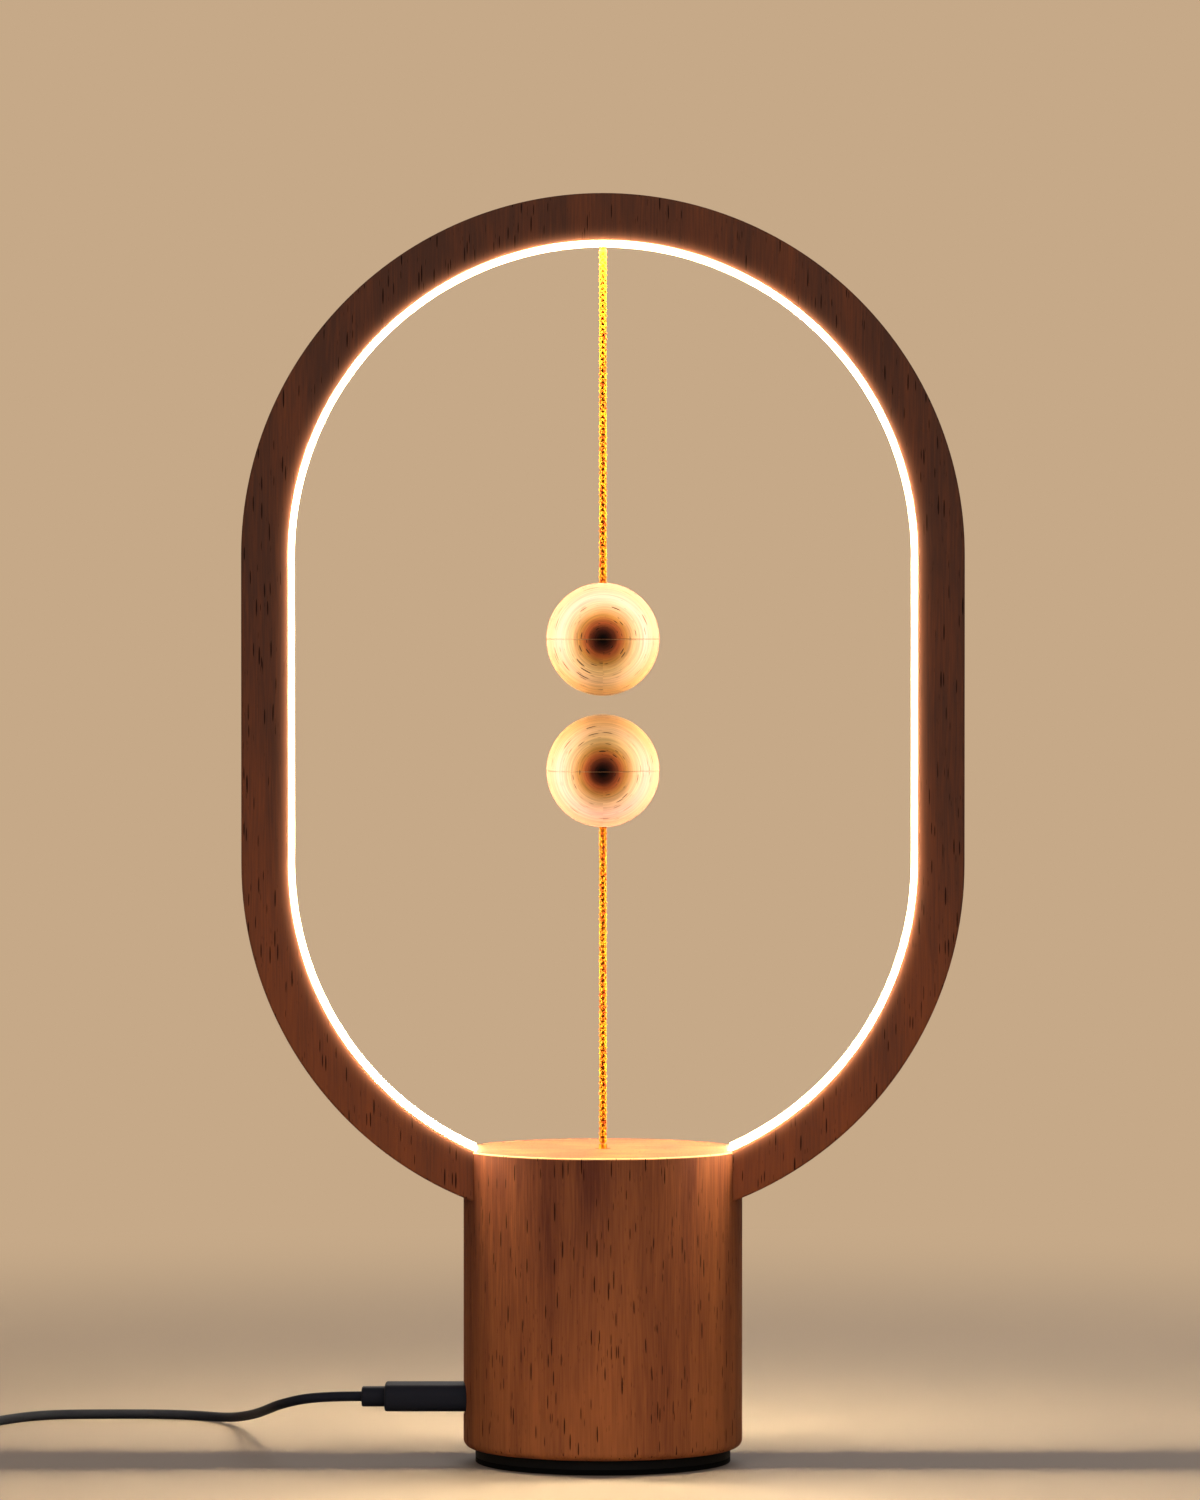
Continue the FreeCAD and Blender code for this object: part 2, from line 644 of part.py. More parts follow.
def board_components():
    """Two wire sockets, the driver chip, a choke, a capacitor and small resistors."""
    switch_socket_x = switch_lead_x(0) + SWITCH_SOCKET_PAST_LEAD - SWITCH_SOCKET[0] / 2
    parts = [
        on_board(LED_SOCKET, channel_foot().x, 0),
        on_board(SWITCH_SOCKET, switch_socket_x, SWITCH_SOCKET_Y),
        on_board(DRIVER_CHIP, DRIVER_CHIP_X, 0),
        cylinder(CHOKE_RADIUS, BOARD_TOP, BOARD_TOP + CHOKE_HEIGHT, *CHOKE_PLACE),
        cylinder(CAPACITOR_RADIUS, BOARD_TOP, BOARD_TOP + CAPACITOR_HEIGHT, *CAPACITOR_PLACE),
    ]
    x, y = RESISTOR_PLACE
    return parts + [on_board(RESISTOR, x + n * RESISTOR_PITCH, y) for n in range(4)]


def socket_shell():
    z = INLET_HEIGHT
    corner = SOCKET_HEIGHT / 2 - SOCKET_WALL / 2
    outer = flat_bar_x(SOCKET_MOUTH, SOCKET_BACK, SOCKET_WIDTH, SOCKET_HEIGHT, corner, z)
    width, height = SOCKET_WIDTH - 2 * SOCKET_WALL, SOCKET_HEIGHT - 2 * SOCKET_WALL
    inner_end = SOCKET_BACK - SOCKET_WALL
    return outer.cut(
        flat_bar_x(SOCKET_MOUTH, inner_end, width, height, corner - SOCKET_WALL, z)
    )


def socket_tongue():
    back = SOCKET_BACK - SOCKET_WALL
    return flat_bar_x(
        back - TONGUE_LENGTH, back, TONGUE_WIDTH, TONGUE_THICKNESS, TONGUE_CORNER, INLET_HEIGHT
    )


def plug_section(x0, x1, inset=0.0):
    """Stretch of the plug's flat oval, in by this much all round."""
    width, height = PLUG_WIDTH - 2 * inset, PLUG_HEIGHT - 2 * inset
    return flat_bar_x(x0, x1, width, height, (height - OVAL_FLAT) / 2, INLET_HEIGHT)


def plug_shell():
    tip = PLUG_BODY_FRONT + PLUG_REACH
    outer = plug_section(PLUG_BODY_FRONT - PLUG_ROOT, tip)
    return outer.cut(plug_section(PLUG_BODY_FRONT, tip, PLUG_WALL))


def plug_body():
    body = flat_bar_x(
        PLUG_BODY_BACK,
        PLUG_BODY_FRONT,
        PLUG_BODY_WIDTH,
        PLUG_BODY_HEIGHT,
        PLUG_BODY_CORNER,
        INLET_HEIGHT,
    )
    back_edges = [e for e in body.Edges if abs(e.CenterOfMass.x - PLUG_BODY_BACK) < 0.01]
    body = body.makeFillet(PLUG_BODY_BACK_ROUND, back_edges)
    return body.cut(plug_section(PLUG_BODY_FRONT - PLUG_ROOT, PLUG_BODY_FRONT))


def plug_relief():
    corner = (RELIEF_HEIGHT - OVAL_FLAT) / 2
    return flat_bar_x(
        RELIEF_END, PLUG_BODY_BACK, RELIEF_WIDTH, RELIEF_HEIGHT, corner, INLET_HEIGHT
    )


# Pull switch


def bracket_screws(fit=0.0):
    screws = []
    for x, y in BRACKET_SCREWS:
        end = CEILING + BRACKET_SCREW_BITE + fit
        shank = cylinder(BOARD_SCREW_RADIUS + fit, BRACKET_BOTTOM, end, x, y)
        low = BRACKET_BOTTOM - PAN_HEAD_HEIGHT
        head = cylinder(PAN_HEAD_RADIUS, low, BRACKET_BOTTOM, x, y)
        screws.append(shank.fuse(head))
    return screws


def switch_box():
    far = SWITCH_FROM_AXIS + SWITCH_LENGTH
    half = SWITCH_WIDTH / 2
    return block(-far, -SWITCH_FROM_AXIS, -half, half, SWITCH_BOTTOM, SWITCH_TOP)


def switch_bracket():
    plate = block(
        -BRACKET_SWITCH_END,
        BRACKET_FREE_END,
        -BRACKET_HALF_WIDTH,
        BRACKET_HALF_WIDTH,
        BRACKET_BOTTOM,
        CEILING,
    )
    plate = rounded(plate, Z, BRACKET_CORNER)
    boss = cylinder(BOSS_RADIUS, BRACKET_BOTTOM - BOSS_LENGTH, BRACKET_BOTTOM)
    far = SWITCH_FROM_AXIS + SWITCH_LENGTH
    arm_y = SWITCH_WIDTH / 2
    arm = block(
        -far,
        -SWITCH_FROM_AXIS,
        arm_y,
        arm_y + ARM_THICKNESS,
        BRACKET_BOTTOM - ARM_DROP,
        BRACKET_BOTTOM,
    )
    way = cylinder(PLUNGER_RADIUS + PLUNGER_FIT, BRACKET_BOTTOM - BOSS_LENGTH, CEILING)
    whole = plate.fuse([boss, arm]).removeSplitter()
    return whole.cut([way] + bracket_screws(SCREW_FIT) + switch_pins(SCREW_FIT))


def switch_pins(fit=0.0):
    """Two pins that hold the switch to the bracket's arm."""
    z = SWITCH_BOTTOM + SWITCH_PIN_RISE
    y0, y1 = -SWITCH_WIDTH / 2, SWITCH_WIDTH / 2 + ARM_THICKNESS
    inset = SWITCH_LENGTH / 4
    return [
        bar(SWITCH_PIN_RADIUS + fit, (-x, y0, z), (-x, y1, z))
        for x in (SWITCH_FROM_AXIS + inset, SWITCH_FROM_AXIS + SWITCH_LENGTH - inset)
    ]


def lever_pin(fit=0.0):
    reach = SWITCH_WIDTH / 2 + LEVER_EAR_CLEAR + LEVER_THICKNESS
    x, z = -LEVER_PIN_FROM_AXIS, LEVER_PIN_HEIGHT
    return bar(LEVER_PIN_RADIUS + fit, (x, -reach, z), (x, reach, z))


def button(fit=0.0):
    x = -BUTTON_FROM_AXIS
    half, wide = BUTTON_LENGTH / 2 + fit, BUTTON_WIDTH / 2 + fit
    top = SWITCH_BOTTOM + BUTTON_IN_SWITCH + fit
    return block(x - half, x + half, -wide, wide, LEVER_TOP + BUTTON_CLEAR - fit, top)


def microswitch():
    return switch_box().cut(switch_pins(SCREW_FIT) + [lever_pin(SCREW_FIT), button(BUTTON_FIT)])


def terminals():
    blades = []
    for n in range(3):
        x = switch_lead_x(n)
        half, thin = TERMINAL_WIDTH / 2, TERMINAL_THICKNESS / 2
        top = SWITCH_TOP + TERMINAL_LENGTH
        blades.append(block(x - half, x + half, -thin, thin, SWITCH_TOP, top))
    return blades


def switch_lead_x(n):
    return -(SWITCH_FROM_AXIS + SWITCH_LENGTH / 2) + (1 - n) * TERMINAL_PITCH


def switch_leads():
    top = BOARD_TOP + SWITCH_SOCKET[2]
    z = SWITCH_TOP + TERMINAL_LENGTH / 3
    leads = []
    for n in (0, 1):
        x = switch_lead_x(n)
        start = -TERMINAL_THICKNESS / 2
        turn = start - SWITCH_LEAD_OUT
        points = [(x, start, z), (x, turn, z), (x, turn, top)]
        leads.append(wire(points, 2 * LEAD_WIRE_RADIUS, LEAD_WIRE_RADIUS))
    return leads


def switch_lever():
    """Spring-steel strip under the switch, with two ears that the pin goes through."""
    end = LEVER_PIN_FROM_AXIS + LEVER_EAR_BACK
    front = LEVER_PIN_FROM_AXIS - LEVER_EAR_FRONT
    ear_y = SWITCH_WIDTH / 2 + LEVER_EAR_CLEAR
    wide = ear_y + LEVER_THICKNESS
    strip = block(
        -end, -LEVER_TIP, -LEVER_WIDTH / 2, LEVER_WIDTH / 2, LEVER_BOTTOM, LEVER_TOP
    )
    yoke = block(-end, -front, -wide, wide, LEVER_BOTTOM, LEVER_TOP)
    ears = [
        block(-end, -front, a, b, LEVER_BOTTOM, LEVER_PIN_HEIGHT + LEVER_EAR_TOP)
        for a, b in ((-wide, -ear_y), (ear_y, wide))
    ]
    return strip.fuse([yoke] + ears).removeSplitter().cut(lever_pin(SCREW_FIT))


def plunger():
    flange = cylinder(FLANGE_RADIUS, FLANGE_BOTTOM, FLANGE_TOP)
    stem = cylinder(PLUNGER_RADIUS, FLANGE_TOP, PLUNGER_TOP)
    whole = flange.fuse(stem).removeSplitter()
    clip_top = CLIP_BOTTOM + CLIP_THICKNESS
    clip_groove = tube(PLUNGER_RADIUS + 1, CLIP_GROOVE_RADIUS, CLIP_BOTTOM, clip_top)
    bore = cylinder(PLUNGER_BORE_RADIUS, FLANGE_BOTTOM, PLUNGER_TOP)
    return whole.cut([clip_groove, bore])


def plunger_clip():
    """Open retaining clip: a ring with a mouth narrower than the stem's groove."""
    top = CLIP_BOTTOM + CLIP_THICKNESS
    ring = tube(CLIP_RADIUS, CLIP_GROOVE_RADIUS, CLIP_BOTTOM, top)
    mouth = block(0, CLIP_RADIUS + 1, -CLIP_MOUTH / 2, CLIP_MOUTH / 2, CLIP_BOTTOM, top)
    return ring.cut(mouth)


def spring():
    """Compression spring between the plunger's flange and the bracket."""
    wire_radius = SPRING_WIRE / 2
    rise = (SPRING_SPACE - SPRING_WIRE) / SPRING_TURNS / SPRING_STEPS
    low = FLANGE_TOP + wire_radius
    points = []
    for n in range(SPRING_TURNS * SPRING_STEPS + 1):
        angle = 2 * math.pi * n / SPRING_STEPS
        x, y = SPRING_RADIUS * math.cos(angle), SPRING_RADIUS * math.sin(angle)
        points.append(FreeCAD.Vector(x, y, low + n * rise))
    curve = Part.BSplineCurve()
    curve.interpolate(points)
    start = Part.makeCircle(wire_radius, points[0], curve.tangent(curve.FirstParameter)[0])
    return Part.Wire([curve.toShape()]).makePipeShell([Part.Wire(start)], True, True)


# Balls and cords


def half_ball(centre, side, magnet):
    """Half of a ball: above its centre for side 1, below for -1. One half holds the magnet."""
    ball = Part.makeSphere(BALL_RADIUS, FreeCAD.Vector(0, 0, centre))
    far = centre + side * 2 * BALL_RADIUS
    low, high = min(centre, far), max(centre, far)
    half = ball.common(cylinder(2 * BALL_RADIUS, low, high))
    flat = min(half.Faces, key=lambda face: abs(face.CenterOfMass.z - centre))
    half = half.makeChamfer(BALL_EDGE, flat.Edges)
    if magnet:
        end = centre + side * (BALL_RADIUS - MAGNET_COVER)
        pocket = cylinder(MAGNET_DIAMETER / 2 + MAGNET_FIT, min(centre, end), max(centre, end))
        return half.cut(pocket)
    end = centre + side * KNOT_POCKET_DEPTH
    pocket = cylinder(KNOT_POCKET_RADIUS, min(centre, end), max(centre, end))
    hole = cylinder(CORD_RADIUS + SCREW_FIT, min(end, far), max(end, far))
    return half.cut([pocket, hole])


def magnet(centre, side):
    far = centre + side * (BALL_RADIUS - MAGNET_COVER)
    near = far - side * MAGNET_THICKNESS
    return cylinder(MAGNET_DIAMETER / 2, min(near, far), max(near, far))


def knot(z, low, high):
    """A knot as a round bead on its cord, flat where it bears on something."""
    ball = Part.makeSphere(KNOT_RADIUS, FreeCAD.Vector(0, 0, z))
    kept = ball.common(cylinder(2 * KNOT_RADIUS, low, high))
    return kept.cut(cylinder(CORD_RADIUS, z - 2 * KNOT_RADIUS, z + 2 * KNOT_RADIUS))


def bend_bead(z):
    return Part.makeSphere(BEAD_RADIUS, FreeCAD.Vector(0, 0, z))


def make_upper_pendulum():
    centre = UPPER_BALL
    bearing = centre + KNOT_POCKET_DEPTH
    knot_centre = bearing - KNOT_BEARING
    tag = knot_centre - KNOT_RADIUS - CORD_TAG / 2
    save("upper_cord_bend", bend_bead(UPPER_PIVOT))
    save("upper_cord", cylinder(CORD_RADIUS, tag, UPPER_PIVOT - BEAD_GAP))
    save("upper_cord_knot", knot(knot_centre, knot_centre - KNOT_RADIUS, bearing))
    save("upper_ball_top", half_ball(centre, 1, magnet=False))
    save("upper_ball_bottom", half_ball(centre, -1, magnet=True))
    save("upper_magnet", magnet(centre, -1))


def make_lower_pendulum():
    centre = LOWER_BALL
    bearing = centre - KNOT_POCKET_DEPTH
    knot_centre = bearing + KNOT_BEARING
    tag = knot_centre + KNOT_RADIUS + CORD_TAG / 2
    save("lower_cord_bend", bend_bead(LOWER_PIVOT))
    save("lower_cord", cylinder(CORD_RADIUS, LOWER_PIVOT + BEAD_GAP, tag))
    save("lower_ball_knot", knot(knot_centre, bearing, knot_centre + KNOT_RADIUS))
    save("lower_ball_bottom", half_ball(centre, -1, magnet=False))
    save("lower_ball_top", half_ball(centre, 1, magnet=True))
    save("lower_magnet", magnet(centre, 1))


def make_pull_switch():
    knot_centre = FLANGE_BOTTOM - KNOT_BEARING
    tag = knot_centre - KNOT_RADIUS - CORD_TAG
    save("switch_bracket", switch_bracket())
    save("bracket_screws", *bracket_screws())
    save("microswitch_body", microswitch())
    save("microswitch_pins", *switch_pins())
    save("microswitch_terminals", *terminals())
    save("switch_leads", *switch_leads())
    save("lever_pin", lever_pin())
    save("switch_lever", switch_lever())
    save("switch_button", button())
    save("switch_plunger", plunger())
    save("plunger_clip", plunger_clip())
    save("plunger_spring", spring())
    save("lower_cord_tail", cylinder(CORD_RADIUS, tag, LOWER_PIVOT - BEAD_GAP))
    save("lower_cord_knot", knot(knot_centre, knot_centre - KNOT_RADIUS, FLANGE_BOTTOM))


def make_frame():
    blank = ring_blank()
    save("ring_frame", ring_frame(blank))
    save("base_body", base_body(blank))
    save("frame_dowels", *dowels())


def make_light():
    save("led_strip", light_strip())
    save("led_chips", *chips())
    save("light_diffuser", sweep_ring(diffuser_section()).cut(cord_way()))
    save("led_leads", *light_leads())
    stub_top = UPPER_CENTRE + GROOVE_FLOOR + FERRULE_LENGTH
    stub = cylinder(CORD_RADIUS, UPPER_PIVOT + BEAD_GAP, stub_top)
    save("upper_cord_stub", stub)
    save("upper_cord_anchor", ferrule(FERRULE_RADIUS).cut(stub))


def make_foot():
    save("foot_pad", cylinder(FOOT_RADIUS, 0, PAD_THICKNESS))
    save("bottom_cover", bottom_cover())
    save("cover_screws", *cover_screws())
    save("ballast_weight", ballast())
    save("circuit_board", circuit_board())
    save("board_components", *board_components())
    save("board_screws", *board_screws())
    save("inlet_shell", socket_shell())
    save("inlet_tongue", socket_tongue())


# Power lead


def lead_tube(points):
    """The lead along its points: each arc is as large as its two runs allow."""
    points = [FreeCAD.Vector(*p) for p in points]
    bends = []
    for before, corner, after in zip(points, points[1:], points[2:]):
        come, go = corner - before, after - corner
        shorter = min(come.Length, go.Length)
        bends.append(LEAD_BEND_SHARE * shorter / math.tan(come.getAngle(go) / 2))
    print("lead bend radii", [round(b, 1) for b in bends])
    edges, start, direction = bent_path(points, bends)
    print("lead length", round(sum(e.Length for e in edges), 1))
    return sweep_round(edges, start, direction, LEAD_RADIUS)


def coil_solid():
    outer = COIL_MEAN_RADIUS + COIL_SECTION / 2
    inner = COIL_MEAN_RADIUS - COIL_SECTION / 2
    return tube(outer, inner, 0, COIL_SECTION, COIL_CENTRE.x, COIL_CENTRE.y)


def coil_tie():
    """Flat tie round the coil's turns, at its front."""
    inner = COIL_MEAN_RADIUS - COIL_SECTION / 2 - TIE_THICKNESS
    outer = COIL_MEAN_RADIUS + COIL_SECTION / 2 + TIE_THICKNESS
    y = COIL_CENTRE.y
    band = block(
        COIL_CENTRE.x - TIE_WIDTH / 2,
        COIL_CENTRE.x + TIE_WIDTH / 2,
        y - outer,
        y - inner,
        0,
        COIL_SECTION + TIE_THICKNESS,
    )
    return band.cut(coil_solid())


def usb_plug(start):
    """The far plug, lying flat and pointing to the back. Its pieces follow each other in Y."""
    x, y, z = start
    body_start = y + USB_RELIEF_LENGTH
    shell_start = body_start + USB_BODY_LENGTH
    shell_end = shell_start + USB_SHELL_LENGTH
    tip = LEAD_RADIUS + USB_RELIEF_TIP
    relief = Part.makeCone(tip, USB_RELIEF_RADIUS, USB_RELIEF_LENGTH, FreeCAD.Vector(x, y, z), Y)
    half, low, high = USB_BODY_WIDTH / 2, z - USB_BODY_HEIGHT / 2, z + USB_BODY_HEIGHT / 2
    body = block(x - half, x + half, body_start, shell_start, low, high)
    body = rounded(body, Y, USB_BODY_CORNER)
    half, low, high = USB_SHELL_WIDTH / 2, z - USB_SHELL_HEIGHT / 2, z + USB_SHELL_HEIGHT / 2
    outer = block(x - half, x + half, shell_start, shell_end, low, high)
    wall = USB_SHELL_WALL
    inner = block(
        x - half + wall, x + half - wall, shell_start, shell_end, low + wall, high - wall
    )
    insulator = block(
        x - half + wall,
        x + half - wall,
        shell_start,
        shell_end - USB_INSULATOR_SHORT,
        high - wall - USB_INSULATOR_HEIGHT,
        high - wall,
    )
    save("usb_a_relief", relief)
    save("usb_a_body", body)
    save("usb_a_shell", outer.cut(inner))
    save("usb_a_insulator", insulator)


def make_power_lead():
    save("inlet_plug_shell", plug_shell())
    save("inlet_plug_body", plug_body())
    save("inlet_plug_relief", plug_relief())
    coil = coil_solid()
    run = lead_tube([(RELIEF_END, 0, INLET_HEIGHT)] + LEAD_POINTS).cut(coil)
    tail = lead_tube(TAIL_POINTS).cut(coil)
    save("power_cable", run, tail)
    save("cable_coil", coil)
    save("coil_tie", coil_tie())
    usb_plug(TAIL_POINTS[-1])


os.makedirs("parts", exist_ok=True)
make_frame()
make_light()
make_foot()
make_pull_switch()
make_upper_pendulum()
make_lower_pendulum()
make_power_lead()
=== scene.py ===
"""Magnetic balance lamp, lit: a wooden ring on a round base, two balls on cords, and its lead.

Metres, in the lamp's own frame: +Z is up, +X runs across the ring and +Y is to the back.
"""

import json
import math

import bmesh
import bpy
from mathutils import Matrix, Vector


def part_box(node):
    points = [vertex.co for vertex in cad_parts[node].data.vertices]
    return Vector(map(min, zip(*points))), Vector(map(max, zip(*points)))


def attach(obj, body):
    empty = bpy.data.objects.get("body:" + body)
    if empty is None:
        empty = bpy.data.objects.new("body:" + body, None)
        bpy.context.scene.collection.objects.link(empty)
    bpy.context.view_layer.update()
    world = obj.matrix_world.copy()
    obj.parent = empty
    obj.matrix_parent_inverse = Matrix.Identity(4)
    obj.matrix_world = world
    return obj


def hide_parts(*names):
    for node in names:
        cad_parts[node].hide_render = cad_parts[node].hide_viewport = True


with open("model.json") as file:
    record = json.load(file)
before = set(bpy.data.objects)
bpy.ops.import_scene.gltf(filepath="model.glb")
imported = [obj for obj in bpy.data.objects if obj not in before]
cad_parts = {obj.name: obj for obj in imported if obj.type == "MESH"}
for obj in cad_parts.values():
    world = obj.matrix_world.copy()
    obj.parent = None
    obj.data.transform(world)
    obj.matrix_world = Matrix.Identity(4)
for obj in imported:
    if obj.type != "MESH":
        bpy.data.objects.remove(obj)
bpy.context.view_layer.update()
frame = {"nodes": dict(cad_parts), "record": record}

MM = 0.001
MERGE = 0.002 * MM
X_AXIS = Vector((1, 0, 0))
Y_AXIS = Vector((0, 1, 0))
Z_AXIS = Vector((0, 0, 1))

# Wooden frame
RING_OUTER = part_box("ring_frame")[1].x
RING_HALF_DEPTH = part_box("ring_frame")[1].y
RING_BAR = 8.4 * MM  # the ring's thickness, seen from the front
RING_INNER = RING_OUTER - RING_BAR
RING_EDGE = 0.5 * MM
GROOVE_HALF_WIDTH = 7.8 * MM
GROOVE_DEPTH = 3.4 * MM
GROOVE_FLOOR = RING_INNER + GROOVE_DEPTH
UPPER_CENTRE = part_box("ring_frame")[1].z - RING_OUTER
BASE_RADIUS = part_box("base_body")[1].y
BASE_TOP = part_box("base_body")[1].z
WOOD_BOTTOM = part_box("base_body")[0].z
BASE_BOTTOM_ROUND = 1.5 * MM
BASE_TOP_ROUND = 0.4 * MM
BORE_RADIUS = BASE_RADIUS - 6.25 * MM
CEILING = BASE_TOP - 12.7 * MM
WELL_RADIUS = 3.9 * MM
WELL_TOP = CEILING + 2.7 * MM
CORD_HOLE = 1.05 * MM
CORD_MOUTH = 1.45 * MM
CORD_MOUTH_DEPTH = 0.4 * MM
RING_FOOT = BASE_RADIUS - 2.25 * MM
LOWER_CENTRE = BASE_TOP + math.sqrt(RING_INNER**2 - RING_FOOT**2)
TURN_STEPS = 160  # facets in a full turn of the base or a ball

# Light band
BAND_FIT = 0.05 * MM  # between the band and its groove
BAND_PROUD = 0.8 * MM
BAND_HALF_WIDTH = GROOVE_HALF_WIDTH - BAND_FIT
BAND_CROWN = RING_INNER - BAND_PROUD
BAND_FLOOR = GROOVE_FLOOR - BAND_FIT
BAND_WALL = 1.0 * MM

# Balls and their cords
BALL_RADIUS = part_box("upper_ball_top")[1].x
UPPER_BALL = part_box("upper_ball_top")[0].z
LOWER_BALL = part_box("lower_ball_top")[0].z
BALL_EDGE = 0.12 * MM
BALL_WINDING = 0.6 * BALL_RADIUS  # radius at which a ball's wound grain is true to length
# A pocket inside a ball: its radius and its depth
MAGNET_POCKET = (5.05 * MM, BALL_RADIUS - 2.5 * MM)
KNOT_POCKET = (2.6 * MM, 5.0 * MM)
CORD_DIAMETER = 1.45 * MM
BALL_HOLE = CORD_DIAMETER / 2 + 0.05 * MM
BEND_BEAD = 0.7 * MM  # radius of the bead of cord at a cord's bend
UPPER_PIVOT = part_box("upper_cord_bend")[1].z - BEND_BEAD
LOWER_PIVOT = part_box("lower_cord_bend")[0].z + BEND_BEAD
STRANDS = 8
STRAND_RADIUS = 0.2 * MM
STRAND_WEAVE = 0.07 * MM  # how far a strand moves out over its neighbours and in under them
BRAID_LAY = 4.2 * MM  # along the cord for one turn of a strand
BRAID_STEPS = 28  # points in one turn of a strand
CORE_RADIUS = 0.42 * MM

# Foot, power inlet and plug
FOOT_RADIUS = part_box("foot_pad")[1].x
PAD_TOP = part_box("foot_pad")[1].z
PAD_EDGE = 0.2 * MM
PLUG_LOW, PLUG_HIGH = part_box("inlet_plug_body")
RELIEF_LOW, RELIEF_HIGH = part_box("inlet_plug_relief")
PLUG_CORNER = 2.0 * MM
PLUG_BACK_EDGE = 0.5 * MM
RELIEF_CORNER = 1.6 * MM
RELIEF_BACK_EDGE = 0.35 * MM
SLOT_FIT = 0.4 * MM
SLOT_CORNER = 2.4 * MM
PAST = 1 * MM  # how far a cutter reaches past what it cuts

# Far plug's shell and its latch windows
SHELL_WALL = 0.35 * MM
SHELL_CORNER = 0.6 * MM
SHELL_INNER_CORNER = 0.3 * MM
WINDOW_WIDTH = 2.5 * MM
WINDOW_LENGTH = 2.3 * MM
WINDOW_OUT = 2.9 * MM  # from the shell's middle to a window's
WINDOW_START = 4.2 * MM  # from the shell's end at low Y

# Power lead: control points of its line, from the plug to the coil and from there to the far plug
LEAD_DIAMETER = 1.8 * MM
LEAD_EXIT = Vector((RELIEF_LOW.x, 0, (RELIEF_LOW.z + RELIEF_HIGH.z) / 2))
LEAD_ROUTE = [
    (-0.0520, 0.0000, 0.0117),
    (-0.0584, 0.0056, 0.0098),
    (-0.0616, 0.0185, 0.0073),
    (-0.0654, 0.0430, 0.0036),
    (-0.0708, 0.0605, 0.0010),
    (-0.0795, 0.0682, 0.0009),
    (-0.0970, 0.0689, 0.0009),
    (-0.1075, 0.0670, 0.0009),
    (-0.1152, 0.0560, 0.0009),
    (-0.1200, 0.0455, 0.0009),
    (-0.1218, 0.0340, 0.0009),
]
TAIL_ROUTE = [(-0.1475, 0.0360, 0.0027), (-0.1486, 0.0445, 0.0035), (-0.1486, 0.0520, 0.0035)]
COIL_CENTRE = Vector((-0.1346, 0.0360, 0))
COIL_MEAN_RADIUS = 10.25 * MM
COIL_PITCH = 1.9 * MM
COIL_STEP_DEGREES = 15
COIL_STEPS = 347  # from where the lead runs in, at the right, to where it leaves, at the left
# Places of the turns in the coil's section, from (outermost, lowest): (turn inwards, turn upwards)
COIL_TURNS = [
    (0, 0), (1, 0), (2, 0), (3, 0), (3, 1), (3, 2), (3, 3), (2, 3),
    (2, 2), (2, 1), (1, 1), (1, 2), (1, 3), (0, 3), (0, 2), (0, 1),
]  # fmt: skip

# Camera
CAMERA_PLACE = (-0.00053, -1.3, 0.15226)
CAMERA_DOWN = 0.018
CAMERA_LENS = 172.44  # on a sensor 36 mm long


# Finishes


def linear(colour):
    """A colour written as sRGB hex, as linear red, green and blue, with full opacity."""
    parts = [int(colour[n : n + 2], 16) / 255 for n in (0, 2, 4)]
    return [c / 12.92 if c <= 0.04045 else ((c + 0.055) / 1.055) ** 2.4 for c in parts] + [1.0]


def add(tree, kind, inputs=None, **settings):
    """Adds a node. An input takes a value, an output, or a node for its first output in use."""
    made = tree.nodes.new("ShaderNode" + kind)
    for name, value in settings.items():
        setattr(made, name, value)
    for name, value in (inputs or {}).items():
        if isinstance(value, bpy.types.Node):
            value = next(output for output in value.outputs if output.enabled)
        if isinstance(value, bpy.types.NodeSocket):
            tree.links.new(value, made.inputs[name])
        else:
            made.inputs[name].default_value = value
    return made


def start_material(name):
    """An empty material, with its node tree and its place on the piece."""
    material = bpy.data.materials.new(name)
    material.use_nodes = True
    tree = material.node_tree
    tree.nodes.clear()
    return material, tree, add(tree, "TexCoord").outputs["Object"]


def end_material(tree, sockets):
    """Closes a material with its one shader."""
    add(tree, "OutputMaterial", {"Surface": add(tree, "BsdfPrincipled", sockets)})


def grain(tree, place, size_mm, detail=2.0):
    """Noise whose features are this long in millimetres along X, Y and Z."""
    scaled = add(tree, "Mapping", {"Vector": place, "Scale": [1 / (length * MM) for length in size_mm]})
    return add(tree, "TexNoise", {"Vector": scaled, "Scale": 1.0, "Detail": detail})


def vessels(tree, place, size_mm, widest):
    """Open pores: thin spindles along the grain. From its middle to its side, the widest takes up
    this share of its cell."""
    scaled = add(tree, "Mapping", {"Vector": place, "Scale": [1 / (length * MM) for length in size_mm]})
    cell = add(tree, "TexVoronoi", {"Vector": scaled, "Scale": 1.0})
    draw = add(tree, "SeparateColor", {"Color": cell.outputs["Color"]})
    edge = add(tree, "Math", {0: draw, 1: widest}, operation="MULTIPLY")
    inside = add(tree, "Math", {0: edge, 1: cell.outputs["Distance"]}, operation="SUBTRACT")
    return add(tree, "MapRange", {"Value": inside, "From Min": -0.01, "From Max": 0.05})


